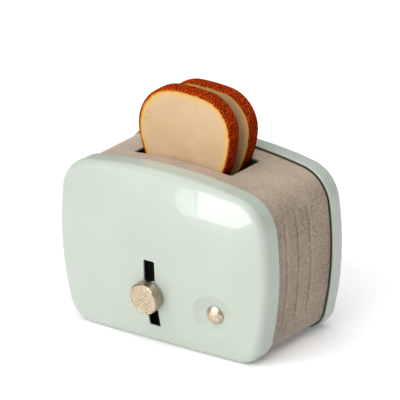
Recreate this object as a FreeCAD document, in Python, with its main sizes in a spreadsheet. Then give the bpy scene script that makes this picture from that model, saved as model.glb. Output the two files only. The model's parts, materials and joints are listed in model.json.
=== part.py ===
"""Toy toaster with two slices of bread: pressed covers, a wrapped body sleeve and a sliding bread lift.

Frame: millimetres, +X to the toaster's right as seen from the front, +Y to the back, +Z up.
The origin lies on the table, halfway between the knob's face and the back cover's crown.
The pieces are modelled about the middle of the body sleeve, and the last step stands them over the origin.
"""

import FreeCAD, Part
import math
import os
import re

import Sketcher
from FreeCAD import Placement, Rotation, Vector

FRONT = -1
BACK = 1
X_AXIS = Vector(1, 0, 0)
Z_AXIS = Vector(0, 0, 1)

# Driving dimensions
SIZES = {
    # outline of the covers, seen from the front
    "width": 66.0,
    "height": 47.4,
    "side_arc": 81.0,
    "side_mid": 26.0,
    "top_arc": 138.0,
    "corner_low": 7.2,
    "corner_top": 10.3,
    # covers
    "cover_wall": 0.6,
    "front_skirt": 5.85,
    "back_skirt": 4.85,
    "dome_rise": 4.0,
    "edge_round": 2.4,
    # sleeve between the covers
    "body_depth": 23.4,
    "sleeve_gap": 0.25,
    "sleeve_wall": 0.6,
    "sleeve_lap": 3.0,
    "flange_reach": 15.0,
    "groove_pitch": 5.15,
    "groove_mid": -2.35,
    "groove_depth": 0.35,
    "groove_width": 1.1,
    "groove_low": 9.5,
    "groove_top": 9.1,
    # bread mouth in the sleeve's top
    "mouth_x": -1.35,
    "mouth_length": 31.1,
    "mouth_corner": 0.8,
    # lever slot
    "slot_x": -1.3,
    "slot_mid": 14.65,
    "slot_length": 18.7,
    "slot_width": 3.4,
    "slot_corner": 0.4,
    "window_rise": 1.1,
    "window_play": 0.5,
    "window_reach": 0.65,
    # knob, stem and their washers
    "knob_radius": 4.3,
    "knob_depth": 3.1,
    "knob_stand": 0.4,
    "knob_edge": 0.5,
    "knob_rim": 0.75,
    "knob_hollow": 0.15,
    "stem_radius": 1.3,
    "stem_grip": 1.9,
    "stem_tail": 12.1,
    "fit": 0.02,
    "washer_radius": 3.4,
    "washer_stand": 0.05,
    "washer_depth": 0.3,
    "inner_play": 1.1,
    "slider_radius": 2.6,
    "slider_depth": 0.5,
    "spring_depth": 0.6,
    "spring_wall": 0.3,
    "collar_radius": 2.6,
    "collar_depth": 1.1,
    # dish and its stud
    "dish_x": 17.5,
    "dish_z": 12.3,
    "dish_radius": 5.9,
    "dish_depth": 1.6,
    "dish_round": 1.0,
    "stud_radius": 2.55,
    "stud_rise": 1.5,
    "stud_stand": 0.3,
    "shank_radius": 1.1,
    "shank_length": 2.6,
    "clip_radius": 2.8,
    "clip_depth": 0.4,
    "clip_stand": 0.65,
    # bulkheads in the sleeve's ends, and the covers' welded studs
    "bulkhead_set": 0.5,
    "bulkhead_wall": 0.8,
    "rim_depth": 1.5,
    "rim_wall": 0.6,
    "seat_play": 0.05,
    "mount_side": 8.0,
    "mount_foot": 8.5,
    "mount_top": 10.4,
    "mount_radius": 1.0,
    "mount_tail": 1.6,
    "nut_radius": 2.2,
    # base plate and its rivets
    "base_lap": 5.0,
    "base_play": 0.3,
    "base_wall": 0.8,
    "rivet_inset": 3.7,
    "rivet_radius": 1.0,
    "rivet_head": 1.8,
    "rivet_rise": 0.4,
    # well and lift under the mouth
    "well_wall": 0.5,
    "crumb_room": 3.4,
    "lip_width": 2.5,
    "lift_wall": 0.8,
    "lift_play": 0.3,
    "end_play": 0.45,
    "ridge_rise": 2.5,
    "ridge_inset": 1.2,
    "arm_width": 6.0,
    "arm_drop": 0.6,
    "arm_under": 4.0,
    "leg_gap": 1.0,
    "leg_tail": 2.25,
    # bread slices
    "bread_shift": 0.4,
    "bread_sunk": 9.6,
    "bread_width": 29.8,
    "bread_height": 28.1,
    "bread_rear_height": 26.8,
    "bread_side_arc": 27.0,
    "bread_side_mid": 19.0,
    "bread_top_arc": 60.0,
    "bread_corner_low": 2.0,
    "bread_corner_left": 12.2,
    "bread_corner_right": 9.4,
    "bread_depth": 4.0,
    "bread_pitch": 8.3,
    "bread_edge": 0.5,
}

doc = FreeCAD.newDocument("toy_toaster")
sheet = doc.addObject("Spreadsheet::Sheet", "sizes")
for row, (alias, number) in enumerate(SIZES.items(), start=1):
    sheet.set(f"A{row}", alias)
    sheet.set(f"B{row}", str(number))
    sheet.setAlias(f"B{row}", alias)
doc.recompute()


def size(alias):
    """Value of one cell of the sheet."""
    return float(getattr(sheet, alias))


def bind(thing, prop, formula):
    """Bind a property to a formula whose words are cells of the sheet."""
    linked = re.sub(r"[a-z_]+", lambda word: f"sizes.{word[0]}" if word[0] in SIZES else word[0], formula)
    thing.setExpression(prop, linked)


def bound(kind, name, **formulas):
    """Part primitive whose properties follow the sheet; x, y and z place it."""
    thing = doc.addObject(f"Part::{kind}", name)
    for prop, formula in formulas.items():
        bind(thing, f"Placement.Base.{prop}" if prop in "xyz" else prop, formula)
    return thing


def box(name, x, y, z, length, width, height):
    """Box with its lowest corner at x, y, z; all six are formulas."""
    return bound("Box", name, x=x, y=y, z=z, Length=length, Width=width, Height=height)


def mid_box(name, x, y, z, length, width, height):
    """Box centred over x, y and standing on z; all six are formulas."""
    return box(name, f"{x} - ({length}) / 2", f"{y} - ({width}) / 2", z, length, width, height)


def disc(name, radius, depth, **place):
    """Cylinder along +Z; the radius, depth and a z in the place are formulas."""
    return bound("Cylinder", name, Radius=radius, Height=depth, **place)


def cut(name, base, tool):
    """Base less the tool."""
    thing = doc.addObject("Part::Cut", name)
    thing.Base = base
    thing.Tool = tool
    return thing


def joined(name, *shapes):
    """Several solids as one."""
    thing = doc.addObject("Part::MultiFuse", name)
    thing.Shapes = list(shapes)
    thing.Refine = True
    return thing


def shared(name, *shapes):
    """What several solids have in common."""
    thing = doc.addObject("Part::MultiCommon", name)
    thing.Shapes = list(shapes)
    return thing


def rounded(name, base, picked, radius):
    """Base with some edges rounded; picked tells whether an edge is one of them."""
    doc.recompute()
    thing = doc.addObject("Part::Fillet", name)
    thing.Base = base
    chosen = [n for n, edge in enumerate(base.Shape.Edges, start=1) if picked(edge)]
    thing.Edges = [(n, radius, radius) for n in chosen]
    return thing


def placed(thing, place):
    """Put an object at a place and return it."""
    thing.Placement = place
    return thing


BREAD_LOW = "(height - bread_sunk)"
BREAD_X = "mouth_x + bread_shift"
MOUTH_WIDTH = "(bread_pitch + bread_depth + 2 * lift_play)"
TRAVEL = "(slot_length / 2 - stem_radius - end_play)"
BULKHEAD_BACK = "(body_depth / 2 + bulkhead_set)"

parts = {}


def sub_part(label, thing):
    """Give a sub-part its label and list it for export."""
    thing.Label = label
    parts[label] = thing
    return thing


def middle(edge):
    """Point half way along an edge."""
    return edge.valueAt((edge.FirstParameter + edge.LastParameter) / 2)


# Outlines: flat foot, bulged sides, arched top and four round corners

COVER = {
    "width": "width",
    "height": "height",
    "side_arc": "side_arc",
    "side_mid": "side_mid",
    "top_arc": "top_arc",
    "corner_low": "corner_low",
    "corner_left": "corner_top",
    "corner_right": "corner_top",
}
BREAD = {key: f"bread_{key}" for key in COVER}
REAR_BREAD = {**BREAD, "height": "bread_rear_height"}


def meeting_corner(side, side_radius, top, top_radius, radius):
    """Centre of an arc on the upper right that lies inside two circles and touches both."""
    reach_a = side_radius - radius
    reach_b = top_radius - radius
    step = top.sub(side)
    gap = step.Length
    along = (reach_a**2 - reach_b**2 + gap**2) / (2 * gap)
    across = math.sqrt(reach_a**2 - along**2)
    unit = step * (1 / gap)
    return side.add(unit * along).add(Vector(-unit.y, unit.x, 0) * across)


def arc(center, radius, start, end):
    """Arc in a sketch, anticlockwise from one angle to another."""
    return Part.ArcOfCircle(Part.Circle(center, Z_AXIS, radius), start, end)


def heading(origin, target):
    """Angle of the line from one point to another."""
    return math.atan2(target.y - origin.y, target.x - origin.x)


def join_loop(sketch, first, count):
    """Make one smooth closed loop of count neighbouring pieces in a sketch."""
    for n in range(count):
        sketch.addConstraint(Sketcher.Constraint("Tangent", first + n, 2, first + (n + 1) % count, 1))


def dimension(sketch, kind, picks, number, name, formula):
    """Add one dimension to a sketch and bind it to the sheet."""
    index = sketch.addConstraint(Sketcher.Constraint(kind, *picks, number))
    sketch.renameConstraint(index, name)
    bind(sketch, f"Constraints.{name}", formula)


def add_outline(sketch, names, inset_formula, inset, tag):
    """Draw an outline moved inwards by an inset; names tells which cells of the sheet shape it."""
    full = {key: size(alias) for key, alias in names.items()}
    side_radius = full["side_arc"] - inset
    top_radius = full["top_arc"] - inset
    low_radius = full["corner_low"] - inset
    right_radius = full["corner_right"] - inset
    left_radius = full["corner_left"] - inset
    side = Vector(full["width"] / 2 - full["side_arc"], full["side_mid"], 0)
    top = Vector(0, full["height"] - full["top_arc"], 0)
    drop = side.y - full["corner_low"]
    low = Vector(side.x + math.sqrt((side_radius - low_radius) ** 2 - drop**2), full["corner_low"], 0)
    right = meeting_corner(side, side_radius, top, top_radius, right_radius)
    left = meeting_corner(side, side_radius, top, top_radius, left_radius)
    low_turn = heading(side, low)
    right_turn = heading(side, right)
    left_turn = heading(side, left)
    top_start = heading(top, right)
    top_end = math.pi - heading(top, left)

    def mirror(point):
        return Vector(-point.x, point.y, 0)

    first = sketch.GeometryCount
    pieces = [
        Part.LineSegment(Vector(-low.x, inset, 0), Vector(low.x, inset, 0)),
        arc(low, low_radius, -math.pi / 2, low_turn),
        arc(side, side_radius, low_turn, right_turn),
        arc(right, right_radius, right_turn, top_start),
        arc(top, top_radius, top_start, top_end),
        arc(mirror(left), left_radius, top_end, math.pi - left_turn),
        arc(mirror(side), side_radius, math.pi - left_turn, math.pi - low_turn),
        arc(mirror(low), low_radius, math.pi - low_turn, 1.5 * math.pi),
    ]
    sketch.addGeometry(pieces, False)
    foot, low_r, side_r, high_r, top_m, high_l, side_l, low_l = range(first, first + len(pieces))
    join_loop(sketch, first, len(pieces))
    sketch.addConstraint(Sketcher.Constraint("Horizontal", foot))
    for one, other in ((low_r, low_l), (side_r, side_l)):
        sketch.addConstraint(Sketcher.Constraint("Equal", one, other))
    sketch.addConstraint(Sketcher.Constraint("Symmetric", side_r, 3, side_l, 3, -2))
    sketch.addConstraint(Sketcher.Constraint("PointOnObject", top_m, 3, -2))
    if inset:
        dimension(sketch, "DistanceY", (-1, 1, foot, 1), inset, f"foot_{tag}", inset_formula)
    else:
        sketch.addConstraint(Sketcher.Constraint("PointOnObject", foot, 1, -1))
    less = f" - ({inset_formula})"
    for piece, radius, key in (
        (low_r, low_radius, "corner_low"),
        (side_r, side_radius, "side_arc"),
        (high_r, right_radius, "corner_right"),
        (high_l, left_radius, "corner_left"),
        (top_m, top_radius, "top_arc"),
    ):
        dimension(sketch, "Radius", (piece,), radius, f"{key}_{tag}", names[key] + less)
    out = f"{names['side_arc']} - {names['width']} / 2"
    down = f"{names['top_arc']} - {names['height']}"
    dimension(sketch, "DistanceX", (side_r, 3, -1, 1), -side.x, f"side_x_{tag}", out)
    dimension(sketch, "DistanceY", (-1, 1, side_r, 3), side.y, f"side_z_{tag}", names["side_mid"])
    dimension(sketch, "DistanceY", (top_m, 3, -1, 1), -top.y, f"top_z_{tag}", down)


def origin_plane(body, role):
    """One of a body's own origin planes."""
    return next(item for item in body.Origin.OriginFeatures if item.Role == role)


def front_sketch(body, name, back_y):
    """Empty sketch seen from the front, at the y of a formula; padding it goes to the front."""
    sketch = body.newObject("Sketcher::SketchObject", name)
    sketch.AttachmentSupport = [(origin_plane(body, "XZ_Plane"), "")]
    sketch.MapMode = "FlatFace"
    bind(sketch, "AttachmentOffset.Base.z", f"-({back_y})")
    return sketch


def feature(body, kind, name, sketch, length):
    """Pad or pocket of a sketch, along its normal, by the length of a formula."""
    step = body.newObject(f"PartDesign::{kind}", name)
    step.Profile = sketch
    step.Reversed = kind == "Pocket"
    bind(step, "Length", length)
    sketch.Visibility = False
    return step


def outline_pad(name, back_y, depth, *insets, names=COVER):
    """Body padded to the front from one outline, or from the ring between two."""
    body = doc.addObject("PartDesign::Body", name)
    sketch = front_sketch(body, f"{name}_outline", back_y)
    for tag, (formula, inset) in zip("ab", insets):
        add_outline(sketch, names, formula, inset, tag)
    feature(body, "Pad", f"{name}_pad", sketch, depth)
    return body


def inset_by(*aliases):
    """Inset made up of several cells of the sheet: its formula and its number."""
    return " + ".join(aliases) or "0", sum(size(alias) for alias in aliases)


FLUSH = inset_by()
WALL = inset_by("cover_wall")
SLEEVE_OUT = inset_by("cover_wall", "sleeve_gap")
SLEEVE_IN = inset_by("cover_wall", "sleeve_gap", "sleeve_wall")
RIM_OUT = inset_by("cover_wall", "sleeve_gap", "sleeve_wall", "seat_play")
RIM_IN = inset_by("cover_wall", "sleeve_gap", "sleeve_wall", "seat_play", "rim_wall")
LIP_IN = inset_by("cover_wall", "sleeve_gap", "sleeve_wall", "well_wall")

# Pressed face of a cover: inside a level rim it stands out by rise * (1 - (x/a)^2) * (1 - (z/b)^2)

FACE_MARGIN = 3.0
HALF_WIDTH = size("width") / 2
HALF_HEIGHT = size("height") / 2


def face_y(x, z, side=FRONT):
    """Outer face of a cover at x, z."""
    skirt = size("front_skirt") if side == FRONT else size("back_skirt")
    across = x / HALF_WIDTH
    up = z / HALF_HEIGHT - 1
    rise = size("dome_rise") * (1 - across**2) * (1 - up**2)
    return side * (size("body_depth") / 2 + skirt + rise)


def face_normal(x, z):
    """Outward normal of the front cover's face at x, z."""
    across = x / HALF_WIDTH
    up = z / HALF_HEIGHT - 1
    fall_x = 2 * size("dome_rise") * across * (1 - up**2) / HALF_WIDTH
    fall_z = 2 * size("dome_rise") * up * (1 - across**2) / HALF_HEIGHT
    return Vector(fall_x, -1, fall_z).normalize()


def face_tool(name, side, inset):
    """Block that reaches outwards from the pressed face, with the face moved inwards by the inset."""
    reach_x = HALF_WIDTH + FACE_MARGIN
    reach_z = HALF_HEIGHT + FACE_MARGIN

    def poles(reach, half):
        edge = 1 - (reach / half) ** 2
        return (-reach, edge), (0.0, 2 - edge), (reach, edge)

    rim = face_y(HALF_WIDTH, 0, side) - side * inset
    patch = Part.BezierSurface()
    patch.increase(2, 2)
    for i, (x, lift_x) in enumerate(poles(reach_x, HALF_WIDTH), start=1):
        for j, (z, lift_z) in enumerate(poles(reach_z, HALF_HEIGHT), start=1):
            y = rim + side * size("dome_rise") * lift_x * lift_z
            patch.setPole(i, j, Vector(x, y, HALF_HEIGHT + z))
    face = doc.addObject("Part::Feature", f"{name}_patch")
    face.Shape = patch.toShape()
    block = doc.addObject("Part::Extrusion", name)
    block.Base = face
    block.DirMode = "Custom"
    block.Dir = Vector(0, side, 0)
    block.Solid = True
    bind(block, "LengthFwd", "body_depth")
    return block


def cover_form(name, side, skirt, inset, open_by):
    """Solid in the shape of a cover, all of it moved inwards by the inset and longer at the open end."""
    formula, number = inset
    reach = f"{skirt} + dome_rise + {open_by}"
    back_y = f"{open_by} - body_depth / 2" if side == FRONT else f"body_depth / 2 + {skirt} + dome_rise"
    blank = outline_pad(f"{name}_blank", back_y, reach, inset)
    domed = cut(f"{name}_domed", blank, face_tool(f"{name}_face", side, number))

    def on_rim(edge):
        ends = [edge.valueAt(edge.FirstParameter), middle(edge), edge.valueAt(edge.LastParameter)]
        return all(abs(p.y - face_y(p.x, p.z, side) + side * number) < 1e-3 for p in ends)

    return rounded(f"{name}_form", domed, on_rim, size("edge_round") - number)


front_outer = cover_form("front_outer", FRONT, "front_skirt", FLUSH, 0)
front_inner = cover_form("front_inner", FRONT, "front_skirt", WALL, 1)
back_outer = cover_form("back_outer", BACK, "back_skirt", FLUSH, 0)
back_inner = cover_form("back_inner", BACK, "back_skirt", WALL, 1)

# Frames of the dish and of the lever on the front cover's face: +Z points outwards

dish_normal = face_normal(size("dish_x"), size("dish_z"))
dish_bottom = Vector(size("dish_x"), face_y(size("dish_x"), size("dish_z")), size("dish_z"))
dish_bottom = dish_bottom.sub(dish_normal * size("dish_depth"))
dish_ball = (size("dish_radius") ** 2 + size("dish_depth") ** 2) / (2 * size("dish_depth"))
dish_place = Placement(dish_bottom, Rotation(Z_AXIS, dish_normal))
lever_normal = face_normal(0, size("slot_mid"))
lever_point = Vector(size("slot_x"), face_y(size("slot_x"), size("slot_mid")), size("slot_mid"))
lever_place = Placement(lever_point, Rotation(Z_AXIS, lever_normal))

# Front cover with its dish, lever slot and stud hole


def dish_tool(name, extra):
    """Ball that presses the dish, larger by the extra."""
    ball = doc.addObject("Part::Sphere", name)
    ball.Radius = dish_ball + extra
    return placed(ball, Placement(dish_bottom.add(dish_normal * dish_ball), Rotation(X_AXIS, dish_normal)))


def near_dish(edge):
    """Whether an edge is the rim of the dish."""
    bounds = edge.BoundBox
    near = bounds.Center.distanceToPoint(dish_bottom) < size("dish_radius") / 2
    return near and bounds.XLength > size("dish_radius")


def along_y(edge):
    """Whether a straight edge runs along Y."""
    step = edge.valueAt(edge.LastParameter).sub(edge.valueAt(edge.FirstParameter))
    return abs(step.y) > 0.99 * step.Length


dished = cut("front_dished", front_outer, dish_tool("dish_outer", 0.0))
dished_soft = rounded("front_dish_rim", dished, near_dish, size("dish_round"))
hollow = cut("front_hollow", front_inner, dish_tool("dish_inner", size("cover_wall")))
front_shell = cut("front_shell", dished_soft, hollow)
slot_block = box(
    "slot_block",
    "slot_x - slot_width / 2",
    "-body_depth / 2 - front_skirt - dome_rise - 1",
    "slot_mid - slot_length / 2",
    "slot_width",
    "front_skirt + dome_rise",
    "slot_length",
)
slot_tool = rounded("slot_tool", slot_block, along_y, size("slot_corner"))
shank_hole = placed(
    disc("shank_hole", "shank_radius + seat_play", "2 * shank_length"),
    dish_place.multiply(Placement(Vector(0, 0, -size("shank_length")), Rotation())),
)
front_cut = cut("front_slotted", front_shell, slot_tool)
sub_part("front_cover", cut("front_cover_solid", front_cut, shank_hole))
sub_part("back_cover", cut("back_cover_solid", back_outer, back_inner))

# Body sleeve: bent strip, open below, with the bread mouth on top and pressed grooves at both sides


def top_rectangle(body, name, mid_x, length, width, corner):
    """Sketch on the body's XY plane: a rectangle about mid_x with round corners."""
    sketch = body.newObject("Sketcher::SketchObject", name)
    sketch.AttachmentSupport = [(origin_plane(body, "XY_Plane"), "")]
    sketch.MapMode = "FlatFace"
    bind(sketch, "AttachmentOffset.Base.x", mid_x)
    reach = Vector(10, 5, 0)
    radius = 0.5
    centers = [Vector(x * reach.x, y * reach.y, 0) for x, y in ((1, -1), (1, 1), (-1, 1), (-1, -1))]
    pieces = []
    for n, center in enumerate(centers):
        start = (n - 1) * math.pi / 2
        end = n * math.pi / 2
        out = Vector(math.cos(end), math.sin(end), 0) * radius
        pieces.append(arc(center, radius, start, end))
        pieces.append(Part.LineSegment(center.add(out), centers[(n + 1) % 4].add(out)))
    sketch.addGeometry(pieces, False)
    join_loop(sketch, 0, len(pieces))
    for n in (1, 5):
        sketch.addConstraint(Sketcher.Constraint("Vertical", n))
    for n in (3, 7):
        sketch.addConstraint(Sketcher.Constraint("Horizontal", n))
    for n in (2, 4, 6):
        sketch.addConstraint(Sketcher.Constraint("Equal", 0, n))
    sketch.addConstraint(Sketcher.Constraint("Symmetric", 0, 3, 4, 3, -1, 1))
    dimension(sketch, "Radius", (0,), radius, "corner", corner)
    dimension(sketch, "DistanceX", (4, 3, 0, 3), 2 * reach.x, "length", f"{length} - 2 * {corner}")
    dimension(sketch, "DistanceY", (0, 3, 2, 3), 2 * reach.y, "width", f"{width} - 2 * {corner}")
    return sketch


def opening(body, name, mid_x, length, width, corner, low, high):
    """Cut a rounded rectangle out of a body between two heights."""
    sketch = top_rectangle(body, f"{name}_outline", mid_x, length, width, corner)
    bind(sketch, "AttachmentOffset.Base.z", low)
    return feature(body, "Pocket", name, sketch, f"{high} - ({low})")


STRIP = ("body_depth / 2 + sleeve_lap", "body_depth + 2 * sleeve_lap")
sleeve = outline_pad("sleeve_strip", *STRIP, SLEEVE_OUT, SLEEVE_IN)
opening(sleeve, "mouth", "mouth_x", "mouth_length", MOUTH_WIDTH, "mouth_corner", "height / 2", "height")
FLANGE_GAP = "width - 2 * flange_reach"
opening(sleeve, "bottom_opening", "0", FLANGE_GAP, "2 * body_depth", "mouth_corner", "-1", "corner_low / 2")


def groove_tools(tag, wall):
    """Six round-ended bent rods that press the grooves, thicker by the wall."""
    reach = size("side_arc") - SLEEVE_OUT[1]
    depth = size("groove_depth")
    rod = (size("groove_width") ** 2 / 4 + depth**2) / (2 * depth)
    bend = reach - depth + rod
    low = math.asin((size("groove_low") - size("side_mid")) / reach)
    high = math.asin((size("height") - size("groove_top") - size("side_mid")) / reach)
    rods = []
    for side in (-1, 1):
        turn = Rotation(X_AXIS, 90) if side > 0 else Rotation(Z_AXIS, 180) * Rotation(X_AXIS, 90)
        for n in range(3):
            name = f"groove_{tag}_{'right' if side > 0 else 'left'}_{n}"
            y = size("groove_mid") + (n - 1) * size("groove_pitch")
            center = Vector(side * (HALF_WIDTH - size("side_arc")), y, size("side_mid"))
            ring = doc.addObject("Part::Torus", name)
            ring.Radius1 = bend
            ring.Radius2 = rod + wall
            ring.Angle3 = math.degrees(high - low)
            spin = Rotation(Z_AXIS, math.degrees(low))
            rods.append(placed(ring, Placement(center, turn * spin)))
            for end, angle in (("low", low), ("high", high)):
                tip = doc.addObject("Part::Sphere", f"{name}_{end}")
                tip.Radius = rod + wall
                out = Vector(side * math.cos(angle), 0, math.sin(angle)) * bend
                swing = turn * Rotation(Z_AXIS, math.degrees(angle))
                rods.append(placed(tip, Placement(center.add(out), swing)))
    return rods


sleeve_block = outline_pad("sleeve_block", *STRIP, SLEEVE_OUT)
bead_rods = joined("groove_bead_rods", *groove_tools("bead", size("sleeve_wall")))
beads = shared("groove_beads", bead_rods, sleeve_block)
beaded = joined("sleeve_beaded", sleeve, beads)
grooves = joined("groove_rods", *groove_tools("cut", 0.0))
sleeve_grooved = cut("sleeve_grooved", beaded, grooves)

# Bulkheads: rimmed plates in the sleeve's ends, held to the covers by welded studs and push-on nuts

BULKHEAD_OUT = f"{BULKHEAD_BACK} + bulkhead_wall + rim_depth"
BULKHEAD_DEPTH = "bulkhead_wall + rim_depth"


def mount_discs(name, radius, low, high):
    """Four discs along Y, one at each mount, between two depths behind the middle; all are formulas."""
    discs = []
    depth = f"{high} - ({low})"
    for tag, x in (("left", "mount_side - width / 2"), ("right", "width / 2 - mount_side")):
        for end, z in (("foot", "mount_foot"), ("top", "height - mount_top")):
            one = bound("Cylinder", f"{name}_{tag}_{end}", x=x, y=low, z=z, Radius=radius, Height=depth)
            one.Placement.Rotation = Rotation(X_AXIS, -90)
            discs.append(one)
    return joined(name, *discs)


def sorted_depths(side, near, far):
    """The lower and the higher Y of two distances from the middle on one side."""
    return (f"-({far})", f"-({near})") if side == FRONT else (near, far)


def bulkhead(name, side):
    """Rimmed plate at the front or back end of the sleeve, with its mount holes."""
    if side == FRONT:
        back_y, pocket_y = f"-({BULKHEAD_BACK})", f"-({BULKHEAD_BACK} + bulkhead_wall)"
    else:
        back_y, pocket_y = BULKHEAD_OUT, BULKHEAD_OUT
    body = outline_pad(name, back_y, BULKHEAD_DEPTH, RIM_OUT)
    sketch = front_sketch(body, f"{name}_hollow", pocket_y)
    add_outline(sketch, COVER, *RIM_IN, "a")
    feature(body, "Pocket", f"{name}_pocket", sketch, "rim_depth")
    low, high = sorted_depths(side, "body_depth / 2", BULKHEAD_OUT)
    return cut(f"{name}_plate", body, mount_discs(f"{name}_holes", "mount_radius + seat_play", low, high))


window_block = mid_box(
    "window_block",
    "slot_x",
    "-body_depth / 2",
    "slot_mid - slot_length / 2 + window_rise - window_reach",
    "slot_width + 2 * window_play",
    "2 * (bulkhead_set + bulkhead_wall + rim_depth)",
    "slot_length + 2 * window_reach",
)
window = rounded("window_tool", window_block, along_y, size("slot_corner"))
sub_part("front_bulkhead", cut("front_bulkhead_solid", bulkhead("front_bulkhead_body", FRONT), window))
sub_part("rear_bulkhead", bulkhead("rear_bulkhead_body", BACK))


def mounts(label, side, inner):
    """Studs welded inside a cover and the push-on nuts on their tails."""
    tail = "body_depth / 2 + bulkhead_set - mount_tail"
    low, high = sorted_depths(side, tail, "body_depth + front_skirt")
    rods = mount_discs(f"{label}_stud_rods", "mount_radius", low, high)
    sub_part(f"{label}_mount_studs", shared(f"{label}_studs_solid", rods, inner))
    low, high = sorted_depths(side, f"{BULKHEAD_BACK} - clip_depth", BULKHEAD_BACK)
    rings = mount_discs(f"{label}_nut_discs", "nut_radius", low, high)
    bores = mount_discs(f"{label}_nut_bores", "mount_radius + fit", low, high)
    sub_part(f"{label}_push_nuts", cut(f"{label}_nuts_solid", rings, bores))


mounts("front", FRONT, hollow)
mounts("rear", BACK, back_inner)

# Base plate on the sleeve's turned-in flanges, with four rivets

RIVET_X = "width / 2 - flange_reach + base_lap / 2"
RIVET_Y = "body_depth / 2 - rivet_inset"
FLANGE_Z = SLEEVE_OUT[0]
BASE_Z = SLEEVE_IN[0]


def corner_discs(name, radius, low, high):
    """Four upright discs, one at each rivet, between two heights."""
    discs = []
    for n, (x, y) in enumerate((("-", "-"), ("", "-"), ("-", ""), ("", ""))):
        place = {"x": f"{x}({RIVET_X})", "y": f"{y}({RIVET_Y})", "z": low}
        discs.append(bound("Cylinder", f"{name}_{n}", Radius=radius, Height=f"{high} - ({low})", **place))
    return joined(name, *discs)


BASE_WIDTH = "width - 2 * flange_reach + 2 * base_lap"
BASE_DEPTH = f"2 * ({BULKHEAD_BACK} - base_play)"
plate = mid_box("base_block", "0", "0", BASE_Z, BASE_WIDTH, BASE_DEPTH, "base_wall")
shanks = corner_discs("rivet_shanks", "rivet_radius", FLANGE_Z, f"{BASE_Z} + base_wall")
sub_part("base_plate", cut("base_plate_solid", plate, shanks))
PLATE_TOP = f"{BASE_Z} + base_wall"
low_heads = corner_discs("rivet_low_heads", "rivet_head", f"{FLANGE_Z} - rivet_rise", FLANGE_Z)
high_heads = corner_discs("rivet_high_heads", "rivet_head", PLATE_TOP, f"{PLATE_TOP} + rivet_rise")
sub_part("base_rivets", joined("base_rivets_solid", shanks, low_heads, high_heads))
sub_part("body_sleeve", cut("sleeve_solid", sleeve_grooved, shanks))

# Bread well: open box that hangs from the mouth by a lip

WELL_LOW = f"{BREAD_LOW} - lift_wall - {TRAVEL} - crumb_room"


def mouth_block(name, z, grow):
    """Block under the mouth from a height upwards, larger than the mouth by grow on each side."""
    return mid_box(
        name, "mouth_x", "0", z, f"mouth_length + 2 * ({grow})", f"{MOUTH_WIDTH} + 2 * ({grow})", "height"
    )


room = mouth_block("well_room", f"{WELL_LOW} + well_wall", "0")
shell = mouth_block("well_shell", WELL_LOW, "well_wall")
lip_block = mouth_block("lip_block", WELL_LOW, "lip_width")
lip_ring = outline_pad("lip_ring", *STRIP, SLEEVE_IN, LIP_IN)
inside = outline_pad("sleeve_inside", *STRIP, SLEEVE_IN)
lip = shared("well_lip", lip_block, lip_ring)
hung = joined("well_hung", shared("well_trimmed", shell, inside), lip)
TRAY_Z = f"{BREAD_LOW} - lift_wall"
ARM_Z = f"{TRAY_Z} - arm_drop"
arm_slot = mid_box(
    "arm_slot",
    "slot_x",
    f"-{MOUTH_WIDTH} / 2",
    f"{ARM_Z} - {TRAVEL} - lift_play",
    "arm_width + 2 * lift_play",
    "3 * well_wall",
    f"lift_wall + 2 * {TRAVEL} + 2 * lift_play",
)
sub_part("bread_well", cut("bread_well_solid", cut("well_hollow", hung, room), arm_slot))

# Bread carriage: tray with a middle ridge, and an arm that passes the well's front wall down to the stem

LEG_Y = f"leg_gap - {BULKHEAD_BACK}"
RIDGE = "bread_pitch - bread_depth - 2 * lift_play"
TRAY = ("mouth_length - 2 * lift_play", f"{MOUTH_WIDTH} - 2 * lift_play", "lift_wall")
tray = mid_box("tray_floor", "mouth_x", "0", TRAY_Z, *TRAY)
RIDGE_BLOCK = ("mouth_length - 2 * ridge_inset", RIDGE, "lift_wall + ridge_rise")
ridge = mid_box("tray_ridge", "mouth_x", "0", TRAY_Z, *RIDGE_BLOCK)
RIDGE_ROOM = ("mouth_length", f"{RIDGE} - 2 * lift_wall", "ridge_rise")
ridge_room = mid_box("ridge_room", "mouth_x", "0", TRAY_Z, *RIDGE_ROOM)
ARM_LENGTH = f"arm_under - {MOUTH_WIDTH} / 2 - ({LEG_Y})"
LEG_LOW = "slot_mid - leg_tail"
LEG_HEIGHT = f"{ARM_Z} + lift_wall - ({LEG_LOW})"
arm = box("lift_arm", "slot_x - arm_width / 2", LEG_Y, ARM_Z, "arm_width", ARM_LENGTH, "lift_wall")
leg = box("lift_leg", "slot_x - arm_width / 2", LEG_Y, LEG_LOW, "arm_width", "lift_wall", LEG_HEIGHT)
ridged = cut("carriage_tray", joined("tray_blank", tray, ridge), ridge_room)
carriage = joined("carriage_blank", ridged, arm, leg)
stem_hole = placed(
    disc("leg_hole", "stem_radius + lift_play", "2 * stem_tail"),
    lever_place.multiply(Placement(Vector(0, 0, -2 * size("stem_tail")), Rotation())),
)
sub_part("bread_carriage", cut("carriage_solid", carriage, stem_hole))

# Lever: knob, stem, slide washers inside and outside the slot, spring washer and collar


def along_lever(label, thing):
    """List a piece modelled on the lever's own axis and put it on the cover's face."""
    return sub_part(label, placed(thing, lever_place))


def ring(name, radius, bore, depth, z):
    """Washer about the lever's or a stud's axis; all are formulas."""
    return cut(name, disc(f"{name}_disc", radius, depth, z=z), disc(f"{name}_bore", bore, depth, z=z))


INNER_Z = "-(cover_wall + inner_play)"
SLIDER_Z = f"{INNER_Z} - slider_depth"
SPRING_Z = f"{SLIDER_Z} - spring_depth"
BORE = "stem_radius + fit"
knob_blank = disc("knob_blank", "knob_radius", "knob_depth", z="knob_stand")


def round_edge(edge):
    """Whether an edge is a full circle."""
    return isinstance(edge.Curve, Part.Circle)


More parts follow.
